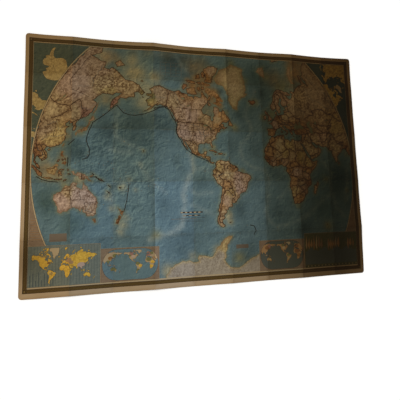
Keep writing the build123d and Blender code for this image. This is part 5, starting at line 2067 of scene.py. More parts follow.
def sea_colours(points, coasts, inks, sizes):
    """The colour of the sea at each point: basins, ridges, shelves and pale water along the coasts."""
    wobble = np.array([noise.noise(Vector((x, y, 9.0)) / SEA_WOBBLE_SIZE) for x, y in points])
    swing = np.array([noise.noise(Vector((x, y, 30.0)) / SEA_SWING_SIZE) for x, y in points])
    colours = np.tile(np.array(inks.sea), (len(points), 1))
    colours = blend(colours, inks.deep, np.clip(swing * DEEP_SWING, 0, DEEP_SWING))
    reach = sizes.ridge_glow / MM
    main_ridge = tree_of(dense_lines(OCEAN_RIDGES[:1]))
    other_ridges = tree_of(dense_lines(OCEAN_RIDGES[1:]))
    ridges = closeness(points, main_ridge, reach * MAIN_RIDGE_WIDENING) * MAIN_RIDGE
    ridges = np.maximum(ridges, closeness(points, other_ridges, reach) * OTHER_RIDGES)
    shore = closeness(points, tree_of(coasts), sizes.shore_glow / MM) * SHORE_STRENGTH
    for name in SEA_ORDER:
        if name == "ridge":
            amount = ridges * (1 + RIDGE_WOBBLE * wobble)
        elif name == "shore":
            amount = shore
        else:
            amount = spots(points, SEA_SPOTS[name]) * (1 + SPOT_WOBBLE * wobble)
        colours = blend(colours, getattr(inks, "shallow" if name == "shore" else name), np.clip(amount, 0, 1))
    return colours


def dense_lines(paths):
    """Paths given in degrees, as points close together on the sheet."""
    return [
        [round_world(*point) for point in fill_in(turn, DENSE_RUN, False)]
        for path in paths
        for turn in whole_turns(list(path), False)
    ]


# How softly one tint of the land meets the next, how many points are worked out at a time, how softly the ice
# begins, and how strong the mossy rim, the edge of a land and the edge of the ice are
TINT_SOFTNESS = 3.0
POINTS_AT_A_TIME = 4000
ICE_SOFTNESS = 10.0
MOSSY_RIM = 0.42
LAND_EDGE = 0.5
ICE_EDGE = 0.7


def land_colours(points, coasts, borders, inks, sizes):
    """The colour of the land at each point: soft tints, and a stronger edge along coasts and borders."""
    seeds = []
    for tint, places in LAND_TINTS.items():
        for place in places:
            seeds += [(*round_world(*turn[0]), tint) for turn in whole_turns([place] * 2, False)]
    places = np.array([seed[:2] for seed in seeds])
    tints = np.array([tuple(getattr(inks, seed[2])) for seed in seeds])
    colours = np.zeros((len(points), 3))
    wobble = np.array([noise.noise(Vector((x, y, 3.0)) / LAND_WOBBLE_SIZE) for x, y in points])
    for first in range(0, len(points), POINTS_AT_A_TIME):
        part = slice(first, first + POINTS_AT_A_TIME)
        far = np.hypot(points[part, 0, None] - places[:, 0], points[part, 1, None] - places[:, 1])
        pull = 1 / (far + TINT_SOFTNESS * (1 + wobble[part, None])) ** 6
        colours[part] = (pull[:, :, None] * tints).sum(1) / pull.sum(1)[:, None]
    edge = closeness(points, tree_of(coasts + borders), sizes.land_glow / MM)
    icy = np.clip((ICE_TOP - points[:, 1]) / ICE_SOFTNESS, 0, 1)
    pale_rim = tree_of(dense_lines([COASTS[name] for name in PALE_LANDS]))
    colours = blend(colours, inks.moss, closeness(points, pale_rim, 3 * sizes.land_glow / MM) * MOSSY_RIM)
    colours = blend(colours, inks.edge, edge * LAND_EDGE * (1 - icy))
    return blend(colours, inks.yellow, edge * ICE_EDGE * icy)


def mountain_heights(points):
    """How mountainous each point of the map is, from 0 to 1."""
    total = np.zeros(len(points))
    for strength, half_width, path in RANGES:
        tree = tree_of(dense_lines((path,)))
        total = np.maximum(total, strength * closeness(points, tree, half_width))
    return total


def inked_faces(art, centres):
    """The name of the ink of every triangle, from the middle of each one. Lines lie over all the fields."""
    x = centres[:, 0]
    y = centres[:, 1]
    names = np.full(len(centres), "paper", dtype="U16")
    for ink_name, holds in art.fields:
        names[holds(x, y)] = ink_name
    tree = KDTree(len(centres))
    for number, (cx, cy) in enumerate(centres):
        tree.insert((cx, cy, 0.0), number)
    tree.balance()
    answers = {window: window(x, y) for window in set(art.line_windows)}
    for corners, ink_name, window in zip(art.line_pieces, art.line_inks, art.line_windows):
        outline = np.array([art.points[corner] for corner in corners])
        middle = outline.mean(0)
        reach = np.linalg.norm(outline - middle, axis=1).max()
        near = np.array([found[1] for found in tree.find_range((*middle, 0.0), reach)], int)
        if len(near) > 0:
            near = near[in_outline(x[near], y[near], outline)]
            names[near[answers[window][near]]] = ink_name
    return names


def build_sheet(art, shape, sizes):
    """One closed mesh: the printed side cut along the print, the plain back, and the edge between them."""
    rim, inside, creases = base_points(shape, sizes)
    base = rim + inside
    rim_edges = [(k, (k + 1) % len(rim)) for k in range(len(rim))]
    first = len(base)
    edges = creases + rim_edges + [(first + a, first + b) for a, b in art.edges]
    for piece in art.line_pieces:
        edges += [(first + piece[k - 1], first + piece[k]) for k in range(len(piece))]
    top, top_faces, top_from = triangles(base + art.points, edges)
    low, low_faces, low_from = triangles(base, creases + rim_edges)
    thickness = sizes.thickness / MM
    heights = [shape.height(x, y) for x, y in top]
    low_heights = [shape.height(x, y) for x, y in low]
    paper = bmesh.new()
    places = [(x, y, z + thickness) for (x, y), z in zip(top, heights)]
    places += [(x, y, z) for (x, y), z in zip(low, low_heights)]
    corners = [
        paper.verts.new((SHEET_LOW.x + x * MM, SHEET_LOW.y + y * MM, SHEET_LOW.z + z * MM))
        for x, y, z in places
    ]
    for face in top_faces:
        paper.faces.new([corners[k] for k in face])
    for face in low_faces:
        paper.faces.new([corners[len(top) + k] for k in reversed(face)])
    loops = []
    for sources, start in ((top_from, 0), (low_from, len(top))):
        at = {}
        for number, origins in enumerate(sources):
            at.update({origin: start + number for origin in origins if origin < len(rim)})
        loops += [paper.edges.get((corners[at[a]], corners[at[b]])) for a, b in rim_edges]
    for edge in loops:
        edge.smooth = False
    sides = bmesh.ops.bridge_loops(paper, edges=loops)["faces"]
    bmesh.ops.recalc_face_normals(paper, faces=paper.faces)
    for face in paper.faces:
        face.smooth = True
    for face in sides:
        face.smooth = False
    mesh = bpy.data.meshes.new("printed_map")
    paper.to_mesh(mesh)
    paper.free()
    return mesh, top, top_faces


def write_values(mesh, name, kind, domain, holder, values):
    """Stores values on the corners or points of a mesh, as a layer that the material reads by its name."""
    layer = mesh.attributes.new(name, kind, domain)
    layer.data.foreach_set(holder, np.asarray(values, np.float32).ravel())


# How far each corner of a triangle is pulled in to read its tint and painted light, so that it takes its own
# panel's tint and painted light beside a crease
CORNER_PULL = 0.1


def paint_sheet(mesh, art, top, top_faces, coasts, borders, shape, inks, sizes):
    """Writes the print onto the mesh, as colours and as values that the material reads."""
    triangle_corners = np.array(top_faces)
    centres = top[triangle_corners].mean(1)
    names = inked_faces(art, centres)
    total_loops = len(mesh.loops)
    total_points = len(mesh.vertices)
    printed = 3 * len(top_faces)
    points = np.zeros(total_loops, int)
    mesh.loops.foreach_get("vertex_index", points)
    table = ink_table(inks)
    sea = sea_colours(top, coasts, inks, sizes)
    land = land_colours(top, coasts, borders, inks, sizes)
    colours = np.ones((total_loops, 4))
    colours[:, :3] = table["back"]
    cover = np.zeros((total_loops, 4))
    cover[:, 3] = 1.0
    tone = np.ones((total_loops, 4))
    loop_names = np.repeat(names, 3)
    for name in np.unique(names):
        chosen = np.flatnonzero(loop_names == name)
        if name == "sea":
            colours[chosen, :3] = sea[points[chosen]]
        elif name in ("land", "pale_land"):
            colours[chosen, :3] = land[points[chosen]]
        else:
            colours[chosen, :3] = table[name]
        cover[chosen, :3] = COVER.get(str(name), (0.0, 0.0, 0.0))
    corner_places = top[points[:printed]]
    pulled = corner_places + (np.repeat(centres, 3, 0) - corner_places) * CORNER_PULL
    # Aged tints of the panels, with painted shade towards the right and top, in soft spots and at the
    # creases, and painted light beside some creases
    column_tints_and_shade = panel_tones(pulled[:, 0], shape.columns, COLUMN_TINTS_AND_SHADE)
    row_tints_and_shade = panel_tones(pulled[:, 1], shape.rows, ROW_TINTS_AND_SHADE)
    tints_and_painted_light = column_tints_and_shade * row_tints_and_shade * browning(pulled) * crease_fading(pulled)[:, None]
    tone[:printed, :3] = to_linear(tints_and_painted_light)
    band = np.zeros((total_loops, 3))
    block = sizes.band_block / MM
    level = (centres[:, 1] < BAND_INSIDE[1]) | (centres[:, 1] > BAND_INSIDE[3])
    low_side = np.where(level, centres[:, 1] < SHEET_DEPTH / 2, centres[:, 0] < SHEET_WIDTH / 2)
    level = np.repeat(level, 3)
    along = np.where(level, corner_places[:, 0], corner_places[:, 1])
    over = np.where(level, corner_places[:, 1], corner_places[:, 0])
    start = np.where(level, BAND_OUTSIDE[1], BAND_OUTSIDE[0])
    end = np.where(level, BAND_OUTSIDE[3], BAND_OUTSIDE[2])
    band[:printed, 0] = along / block
    band[:printed, 1] = np.where(np.repeat(low_side, 3), over - start, end - over) / BAND_WIDTH
    band[:printed, 2] = loop_names == "band"
    colours[:, :3] = to_linear(colours[:, :3])
    write_values(mesh, "ink", "FLOAT_COLOR", "CORNER", "color", colours)
    write_values(mesh, "cover", "FLOAT_COLOR", "CORNER", "color", cover)
    write_values(mesh, "tone", "FLOAT_COLOR", "CORNER", "color", tone)
    write_values(mesh, "band", "FLOAT_VECTOR", "CORNER", "vector", band)
    net = np.zeros((total_points, 3))
    pitch = np.ones((total_points, 3))
    net[: len(top), :2], pitch[: len(top), :2] = degree_net(top)
    write_values(mesh, "net", "FLOAT_VECTOR", "POINT", "vector", net)
    write_values(mesh, "net_pitch", "FLOAT_VECTOR", "POINT", "vector", pitch)
    relief = np.zeros(total_points)
    relief[: len(top)] = np.maximum(mountain_heights(top), spots(top, SEAMOUNTS))
    write_values(mesh, "relief", "FLOAT", "POINT", "value", relief)
    lay_out_bake(mesh, points, printed)


def to_linear(colours):
    """Screen colours as amounts of light, for many at once."""
    return np.where(colours <= 0.04045, colours / 12.92, ((colours + 0.055) / 1.055) ** 2.4)


def degree_net(points):
    """The place of each point in the net of degrees, and the distance between its lines there."""
    x = points[:, 0]
    y = points[:, 1]
    here = np.stack(degrees_at(x, y)) / NET_STEP
    right = np.stack(degrees_at(x + 0.5, y)) / NET_STEP - here
    up = np.stack(degrees_at(x, y + 0.5)) / NET_STEP - here
    slope = np.sqrt(right**2 + up**2) / 0.5
    return here.T, (1 / np.maximum(slope, 1e-4)).T


# The bake map: the scale of the back, how much the strip for the edge is shortened, and its top and bottom
BACK_SCALE = 0.40
EDGE_LENGTH = 1.02
EDGE_TOP = 0.301
EDGE_BOTTOM = 0.286


def lay_out_bake(mesh, points, printed):
    """Lays the printed side out flat at the top of the bake map, and the back and the edge under it."""
    places = np.zeros(len(mesh.vertices) * 3)
    mesh.vertices.foreach_get("co", places)
    places = places.reshape(-1, 3)[points]
    across = (places[:, 0] - SHEET_LOW.x) / MM / SHEET_WIDTH
    along = (places[:, 1] - SHEET_LOW.y) / MM / SHEET_WIDTH
    depth = SHEET_DEPTH / SHEET_WIDTH
    flat = np.stack((across, 1 - depth + along), 1)
    flat[printed:] = np.stack((across, along), 1)[printed:] * BACK_SCALE
    first_side = sum(1 for face in mesh.polygons if face.loop_total == 3) * 3
    round_edge = np.arctan2(along[first_side:] - depth / 2, across[first_side:] - 0.5) / (2 * math.pi) + 0.5
    quad = round_edge.reshape(-1, 4)
    quad = np.where(quad.max(1, keepdims=True) - quad > 0.5, quad + 1.0, quad) / EDGE_LENGTH
    low_corner = places[first_side:, 2].reshape(-1, 4)
    upper = low_corner > low_corner.mean(1, keepdims=True)
    flat[first_side:, 0] = np.minimum(quad, 0.999).ravel()
    flat[first_side:, 1] = np.where(upper, EDGE_TOP, EDGE_BOTTOM).ravel()
    layer = mesh.uv_layers.new(name="OFBake")
    layer.data.foreach_set("uv", flat.astype(np.float32).ravel())


# What a colour is multiplied by where it is darker or paler, browned or dirty
LAND_DARK = (0.26, 0.17, 0.11, 1.0)
LAND_LIGHT = (1.42, 1.42, 1.4, 1.0)
SEA_DARK = (0.42, 0.48, 0.5, 1.0)
SEA_LIGHT = (1.4, 1.34, 1.22, 1.0)
BROWN = (0.84, 0.755, 0.6, 1.0)
DIRT = (0.55, 0.48, 0.40, 1.0)

# How strongly the net of degrees and the blocks of the band are printed
NET_STRENGTH = 0.32
NET_HALF_LINE = 0.22
BLOCK_STRENGTH = 0.75

# How strongly the folds show bare paper, and dirt on the printed and the plain side, and how aged both
# sides are
RUBBED_STRENGTH = 0.1
PRINTED_DIRT = 0.35
PLAIN_DIRT = 0.5
AGEING = 0.8

# How much rougher rubbed paper is, how little the paper shines, the shade of the net's lines, and the grain
# of the plain side with its shade
RUBBED_ROUGH = 0.2
PAPER_SHINE = 0.04
NET_SHADE = 1.3
PLAIN_GRAIN = (0.3, 0.7, 0.0, 0.35)
GRAIN_SHADE = 0.86


class Nodes:
    """Adds nodes to a tree. An input is given a value, or another node's output to follow."""

    def __init__(self, tree):
        self.tree = tree
        tree.nodes.clear()

    def feed(self, socket, value):
        if isinstance(value, bpy.types.NodeSocket):
            self.tree.links.new(value, socket)
        else:
            socket.default_value = value

    def add(self, kind, inputs=None, **settings):
        node = self.tree.nodes.new(kind)
        for name, value in settings.items():
            setattr(node, name, value)
        for socket, value in (inputs or {}).items():
            self.feed(node.inputs[socket], value)
        return node

    def math(self, operation, *values, clamp=False):
        node = self.add("ShaderNodeMath", dict(enumerate(values)), operation=operation, use_clamp=clamp)
        return node.outputs[0]

    def mix(self, factor, first, second, blend_type="MIX"):
        node = self.add(
            "ShaderNodeMix", {0: factor, 6: first, 7: second}, data_type="RGBA", blend_type=blend_type
        )
        return node.outputs[2]

    def noise(self, place, scale, detail=2.0, roughness=0.5, distortion=0.0):
        inputs = {
            "Vector": place,
            "Scale": scale,
            "Detail": detail,
            "Roughness": roughness,
            "Distortion": distortion,
        }
        return self.add("ShaderNodeTexNoise", inputs).outputs["Fac"]

    def step(self, value, low, high, to_low=0.0, to_high=1.0):
        inputs = {"Value": value, "From Min": low, "From Max": high, "To Min": to_low, "To Max": to_high}
        node = self.add("ShaderNodeMapRange", inputs, interpolation_type="SMOOTHSTEP")
        return node.outputs["Result"]

    def attribute(self, name, output="Color"):
        return self.add("ShaderNodeAttribute", attribute_name=name).outputs[output]

    def split(self, vector):
        return self.add("ShaderNodeSeparateXYZ", {0: vector}).outputs

    def group(self, tree, inputs):
        node = self.add("ShaderNodeGroup", node_tree=tree)
        for name, value in inputs.items():
            self.feed(node.inputs[name], value)
        return node.outputs


SOCKETS = {"value": "NodeSocketFloat", "colour": "NodeSocketColor", "vector": "NodeSocketVector"}


def new_group(name, inputs, outputs):
    """An empty node group with its sockets, and the nodes that stand for its inputs and outputs."""
    tree = bpy.data.node_groups.new(name, "ShaderNodeTree")
    for socket, kind in inputs.items():
        tree.interface.new_socket(name=socket, in_out="INPUT", socket_type=SOCKETS[kind])
    for socket, kind in outputs.items():
        tree.interface.new_socket(name=socket, in_out="OUTPUT", socket_type=SOCKETS[kind])
    nodes = Nodes(tree)
    given = nodes.add("NodeGroupInput").outputs
    result = nodes.add("NodeGroupOutput").inputs
    return tree, nodes, given, result


def relief_shade(nodes, place, scale, detail, run):
    """How much a slope faces the upper left: the change in a noise's height over a short run."""
    back = nodes.add("ShaderNodeVectorMath", {0: place, 1: (-run, run, 0.0)}, operation="ADD").outputs[0]
    here = nodes.noise(place, scale, detail, roughness=0.62, distortion=0.5)
    there = nodes.noise(back, scale, detail, roughness=0.62, distortion=0.5)
    return nodes.math("SUBTRACT", here, there)


# The land's texture: how a slope's strength follows the relief, as a factor and a start, the slope at which
# a side is fully lit or shaded, how dark the shaded sides are, and how far roads and rivers bend
LAND_STRENGTH = (0.7, 0.42)
LAND_SLOPE = 0.075
LAND_SHADOW = 0.7
WAY_BEND = (0.014, 0.014, 0.0)

# Soft steps on the noises of that texture: where each starts and ends, and its strength before and after
SETTLED = (0.35, 0.62, 0.35, 1.0)
ROAD = (0.02, 0.05, 0.6, 0.0)
TOWN = (0.1, 0.15, 0.8, 0.0)
STIPPLE = (0.48, 0.59, 0.0, 0.82)
PALE_GRAIN = (0.46, 0.34, 0.0, 0.7)


def land_texture_group():
    """Shaded relief, roads and rivers between small towns, and the stipple of a finely printed land map."""
    inputs = {"Colour": "colour", "Place": "vector", "Amount": "value", "Relief": "value"}
    tree, nodes, given, result = new_group("Land Texture", inputs, {"Colour": "colour"})
    place = given["Place"]
    strength = nodes.math("MULTIPLY_ADD", given["Relief"], *LAND_STRENGTH)
    slope = nodes.math("MULTIPLY", relief_shade(nodes, place, scale=66.0, detail=6.0, run=0.0021), strength)
    lit = nodes.step(slope, 0.0, LAND_SLOPE)
    shaded = nodes.step(slope, 0.0, -LAND_SLOPE)
    bend = nodes.add("ShaderNodeTexNoise", {"Vector": place, "Scale": 70.0, "Detail": 3.0}).outputs["Color"]
    bending = {0: bend, 1: WAY_BEND, 2: place}
    bent = nodes.add("ShaderNodeVectorMath", bending, operation="MULTIPLY_ADD").outputs[0]
    cells = {"Vector": bent, "Scale": 78.0, "Randomness": 1.0}
    ways = nodes.add("ShaderNodeTexVoronoi", cells, feature="DISTANCE_TO_EDGE").outputs["Distance"]
    towns = nodes.add("ShaderNodeTexVoronoi", cells).outputs["Distance"]
    settled = nodes.noise(place, scale=14.0, detail=3.0, roughness=0.6)
    settled = nodes.step(settled, *SETTLED)
    road = nodes.math("MULTIPLY", nodes.step(ways, *ROAD), settled)
    town = nodes.math("MULTIPLY", nodes.step(towns, *TOWN), settled)
    grain = nodes.noise(place, scale=150.0, detail=3.0, roughness=0.75)
    stipple = nodes.math("MULTIPLY", nodes.step(grain, *STIPPLE), settled)
    marks = nodes.math("MAXIMUM", nodes.math("MAXIMUM", road, town), stipple)
    dark = nodes.mix(1.0, given["Colour"], LAND_DARK, "MULTIPLY")
    light = nodes.mix(1.0, given["Colour"], LAND_LIGHT, "MULTIPLY")
    lit = nodes.math("MAXIMUM", lit, nodes.step(grain, *PALE_GRAIN))
    colour = nodes.mix(nodes.math("MULTIPLY", lit, given["Amount"]), given["Colour"], light)
    shadow = nodes.math("MULTIPLY", given["Amount"], LAND_SHADOW)
    colour = nodes.mix(nodes.math("MULTIPLY", shaded, shadow), colour, dark)
    nodes.feed(result["Colour"], nodes.mix(nodes.math("MULTIPLY", marks, given["Amount"]), colour, dark))
    return tree


# The same for the sea, with the number of depth lines, and soft steps for a depth line and a seamount
SEA_STRENGTH = (0.9, 0.5)
SEA_SLOPE = 0.085
SEA_SHADOW = 0.65
DEPTH_LINES = 14.0
DEPTH_LINE = (0.03, 0.1, 0.4, 0.0)
SEAMOUNT = (0.12, 0.3, 0.75, 0.0)


def sea_texture_group():
    """The floor of the sea: hills in relief, faint depth lines, and small seamounts where there are many."""
    inputs = {"Colour": "colour", "Place": "vector", "Amount": "value", "Relief": "value"}
    tree, nodes, given, result = new_group("Sea Texture", inputs, {"Colour": "colour"})
    place = given["Place"]
    strength = nodes.math("MULTIPLY_ADD", given["Relief"], *SEA_STRENGTH)
    slope = nodes.math("MULTIPLY", relief_shade(nodes, place, scale=52.0, detail=7.0, run=0.0024), strength)
    depth = nodes.noise(place, scale=13.0, detail=5.0, roughness=0.6, distortion=0.6)
    steps = nodes.math("PINGPONG", nodes.math("MULTIPLY", depth, DEPTH_LINES), 0.5)
    line = nodes.step(steps, *DEPTH_LINE)
    cells = {"Vector": place, "Scale": 130.0, "Randomness": 1.0}
    mount = nodes.add("ShaderNodeTexVoronoi", cells).outputs["Distance"]
    mount = nodes.math("MULTIPLY", nodes.step(mount, *SEAMOUNT), given["Relief"])
    pale = nodes.mix(1.0, given["Colour"], SEA_LIGHT, "MULTIPLY")
    dark = nodes.mix(1.0, given["Colour"], SEA_DARK, "MULTIPLY")
    light = nodes.math("MULTIPLY", nodes.step(slope, 0.0, SEA_SLOPE), given["Amount"])
    shaded = nodes.step(slope, 0.0, -SEA_SLOPE, 0.0, SEA_SHADOW)
    shaded = nodes.math("MAXIMUM", shaded, nodes.math("MAXIMUM", line, mount))
    colour = nodes.mix(light, given["Colour"], pale)
    nodes.feed(result["Colour"], nodes.mix(nodes.math("MULTIPLY", shaded, given["Amount"]), colour, dark))
    return tree


def degree_net_group():
    """Thin lines at each step of longitude and latitude."""
    tree, nodes, given, result = new_group(
        "Degree Net", {"Net": "vector", "Pitch": "vector", "Half Width": "value"}, {"Line": "value"}
    )
    net = nodes.split(given["Net"])
    pitch = nodes.split(given["Pitch"])
    lines = []
    for axis in (0, 1):
        away = nodes.math("PINGPONG", net[axis], 0.5)
        away = nodes.math("MULTIPLY", away, pitch[axis])
        lines.append(nodes.math("LESS_THAN", away, given["Half Width"]))
    nodes.feed(result["Line"], nodes.math("MAXIMUM", *lines))
    return tree


# Half the gap between two blocks, as a share of their pitch, and where a row of blocks starts and ends, as
# shares of the band's width from its middle
HALF_BLOCK_GAP = 0.25
BLOCK_EDGES = (0.03, 0.2)


def band_blocks_group():
    """Two rows of small blocks along the band, each beside a gap of the other row."""
    tree, nodes, given, result = new_group("Band Blocks", {"Band": "vector"}, {"Block": "value"})
    band = nodes.split(given["Band"])
    row = nodes.math("GREATER_THAN", band[1], 0.5)
    shifted = nodes.math("ADD", band[0], nodes.math("MULTIPLY", row, 0.5))
    along = nodes.math("PINGPONG", shifted, 0.5)
    over = nodes.math("PINGPONG", nodes.math("SUBTRACT", band[1], 0.5), 0.5)
    block = nodes.math("GREATER_THAN", along, HALF_BLOCK_GAP)
    block = nodes.math("MULTIPLY", block, nodes.math("LESS_THAN", over, BLOCK_EDGES[1]))
    block = nodes.math("MULTIPLY", block, nodes.math("GREATER_THAN", over, BLOCK_EDGES[0]))
    nodes.feed(result["Block"], nodes.math("MULTIPLY", block, band[2]))
    return tree


# Along a fold, in metres: how far its worn line wanders, where that line ends, how far the dirt reaches,
# where the wear at a crossing ends, and how high the worn fibres stand
FOLD_WANDER = 0.0012
FOLD_LINE = (0.0003, 0.0011)
DIRT_REACH = 0.012
CROSSING = (0.004, 0.02)
WORN_HEIGHT = 0.00018

# Soft steps on the noises of the folds: patches where more is rubbed off, wear at a crossing, and dirty
# patches
WORN_PATCH = (0.42, 0.66, 0.12, 0.9)
WORN_CROSSING = (0.58, 0.66)
DIRTY_PATCH = (0.3, 0.7)


def fold_wear_group(sizes):
    """Worn folds: where the ink has rubbed off along the creases, the dirt beside them, and their height."""
    tree, nodes, given, result = new_group(
        "Fold Wear", {"Place": "vector"}, {"Rubbed": "value", "Dirt": "value", "Height": "value"}
    )
    place = nodes.split(given["Place"])
    first = (SHEET_LOW.x + sizes.first_column, SHEET_LOW.y + sizes.first_row)
    pitch = (sizes.column_pitch, sizes.row_pitch)
    ragged = nodes.noise(given["Place"], scale=420.0, detail=3.0, roughness=0.6)
    patchy = nodes.noise(given["Place"], scale=34.0, detail=4.0, roughness=0.65)
    inside = nodes.math("GREATER_THAN", place[0], first[0] - 0.5 * sizes.first_column)
    rubbed = []
    dirt = []
    ways = []
    for axis, kept in ((0, inside), (1, 1.0)):
        away = nodes.math("PINGPONG", nodes.math("SUBTRACT", place[axis], first[axis]), pitch[axis] / 2)
        wander = nodes.math("MULTIPLY", nodes.math("SUBTRACT", ragged, 0.5), FOLD_WANDER)
        away = nodes.math("ADD", away, wander)
        rubbed.append(nodes.math("MULTIPLY", nodes.step(away, *FOLD_LINE, 1.0, 0.0), kept))
        dirt.append(nodes.math("MULTIPLY", nodes.step(away, 0.0, DIRT_REACH, 1.0, 0.0), kept))
        ways.append(nodes.step(away, *CROSSING, 1.0, 0.0))
    both = nodes.math("MULTIPLY", *ways)
    line = nodes.math("MULTIPLY", nodes.math("MAXIMUM", *rubbed), nodes.step(patchy, *WORN_PATCH))
    cross = nodes.math("MULTIPLY", both, nodes.step(ragged, *WORN_CROSSING))
    nodes.feed(result["Rubbed"], nodes.math("ADD", line, nodes.math("MULTIPLY", cross, 0.5), clamp=True))
    dirt = nodes.math("MAXIMUM", *dirt)
    nodes.feed(result["Dirt"], nodes.math("MULTIPLY", dirt, nodes.step(patchy, *DIRTY_PATCH)))
    nodes.feed(result["Height"], nodes.math("MULTIPLY", nodes.math("MAXIMUM", *rubbed), WORN_HEIGHT))
    return tree


# How far the browned edge reaches in from the sheet's sides, and how far it wanders, in metres
BROWN_EDGE = 0.009
BROWN_EDGE_WANDER = 0.012

# Soft steps on the noises of ageing paper: broad stains, small clouds, places with specks, and one speck
STAIN = (0.45, 0.75)
CLOUD = (0.5, 0.8)
SPECKED = (0.55, 0.75)
SPECK = (0.03, 0.1, 1.0, 0.0)

# How strongly stains, clouds, the browned edge and specks brown the paper
STAIN_STRENGTH = 0.45
CLOUD_STRENGTH = 0.25
EDGE_STRENGTH = 0.55
SPECK_STRENGTH = 0.6


def paper_ageing_group():
    """Browning of old paper: broad stains, specks, and edges that have taken the most light and dirt."""
    tree, nodes, given, result = new_group(
        "Paper Ageing", {"Colour": "colour", "Place": "vector", "Amount": "value"}, {"Colour": "colour"}
    )
    place = nodes.split(given["Place"])
    broad = nodes.noise(given["Place"], scale=5.5, detail=4.0, roughness=0.6, distortion=0.5)
    cloudy = nodes.noise(given["Place"], scale=24.0, detail=4.0, roughness=0.6)
    specks = nodes.add("ShaderNodeTexVoronoi", {"Vector": given["Place"], "Scale": 46.0, "Randomness": 1.0})
    speck_size = nodes.step(nodes.noise(given["Place"], scale=60.0), *SPECKED)
    speck = nodes.math("MULTIPLY", nodes.step(specks.outputs["Distance"], *SPECK), speck_size)
    edges = []
    for axis, low, high in ((0, SHEET_LOW.x, SHEET_HIGH.x), (1, SHEET_LOW.y, SHEET_HIGH.y)):
        far = nodes.math("ABSOLUTE", nodes.math("SUBTRACT", place[axis], (low + high) / 2))
        edges.append(nodes.math("SUBTRACT", (high - low) / 2, far))
    rim = nodes.math("MINIMUM", *edges)
    wander = nodes.math("MULTIPLY", nodes.math("SUBTRACT", cloudy, 0.5), BROWN_EDGE_WANDER)
    rim = nodes.math("ADD", rim, wander)
    brown = nodes.mix(1.0, given["Colour"], BROWN, "MULTIPLY")
    stain = nodes.math("MULTIPLY", nodes.step(broad, *STAIN), STAIN_STRENGTH)
    cloud = nodes.math("MULTIPLY", nodes.step(cloudy, *CLOUD), CLOUD_STRENGTH)
    stain = nodes.math("ADD", stain, cloud)
    stain = nodes.math("ADD", stain, nodes.step(rim, 0.0, BROWN_EDGE, EDGE_STRENGTH, 0.0))
    stain = nodes.math("ADD", stain, nodes.math("MULTIPLY", speck, SPECK_STRENGTH))
    stain = nodes.math("MULTIPLY", stain, given["Amount"], clamp=True)
    nodes.feed(result["Colour"], nodes.mix(stain, given["Colour"], brown))
    return tree


# Heights of the paper's fibre, crumples and bulges, in metres, and a soft step from the smoothest to the
# roughest paper
FIBRE_HEIGHT = 0.00002
CRUMPLE_HEIGHT = 0.00045
BULGE_HEIGHT = 0.0012
PAPER_ROUGH = (0.3, 0.7, 0.58, 0.72)


def paper_surface_group():
    """The height of the paper's fibre, crumples and bulges, and how rough it is."""
    outputs = {"Height": "value", "Rough": "value"}
    tree, nodes, given, result = new_group("Paper Surface", {"Place": "vector"}, outputs)
    fibre = nodes.noise(given["Place"], scale=900.0, detail=3.0, roughness=0.6)
    crumple = nodes.noise(given["Place"], scale=38.0, detail=5.0, roughness=0.55, distortion=0.3)
    bulge = nodes.noise(given["Place"], scale=11.0, detail=2.0, roughness=0.5)
    height = nodes.math("MULTIPLY", fibre, FIBRE_HEIGHT)
    height = nodes.math("ADD", height, nodes.math("MULTIPLY", crumple, CRUMPLE_HEIGHT))
    height = nodes.math("ADD", height, nodes.math("MULTIPLY", bulge, BULGE_HEIGHT))
    nodes.feed(result["Height"], height)
    nodes.feed(result["Rough"], nodes.step(crumple, *PAPER_ROUGH))
    return tree


def rgba(colour, share=1.0):
    """A screen colour, or a share of it, as a shader takes it."""
    return (*[part * share for part in linear(colour)], 1.0)


def finish_paper(nodes, colour, place, groups, bare, dirt_strength):
    """The last coats of both sides: rubbed folds, dirt, ageing, and the surface of the paper."""
    wear = nodes.group(groups["folds"], {"Place": place})
    dirty = nodes.mix(1.0, colour, DIRT, "MULTIPLY")
    colour = nodes.mix(nodes.math("MULTIPLY", wear["Dirt"], dirt_strength), colour, dirty)
    colour = nodes.mix(nodes.math("MULTIPLY", wear["Rubbed"], RUBBED_STRENGTH), colour, bare)
    colour = nodes.group(groups["ageing"], {"Colour": colour, "Place": place, "Amount": AGEING})["Colour"]
    surface = nodes.group(groups["surface"], {"Place": place})
    height = nodes.math("ADD", surface["Height"], wear["Height"])
    bump = nodes.add("ShaderNodeBump", {"Strength": 1.0, "Distance": 1.0, "Height": height})
    rougher = nodes.math("MULTIPLY", wear["Rubbed"], RUBBED_ROUGH)
    inputs = {
        "Base Color": colour,
        "Roughness": nodes.math("ADD", surface["Rough"], rougher),
        "Specular IOR Level": PAPER_SHINE,
        "Normal": bump.outputs["Normal"],
    }
    shader = nodes.add("ShaderNodeBsdfPrincipled", inputs)
    out = nodes.add("ShaderNodeOutputMaterial")
    nodes.tree.links.new(shader.outputs["BSDF"], out.inputs["Surface"])


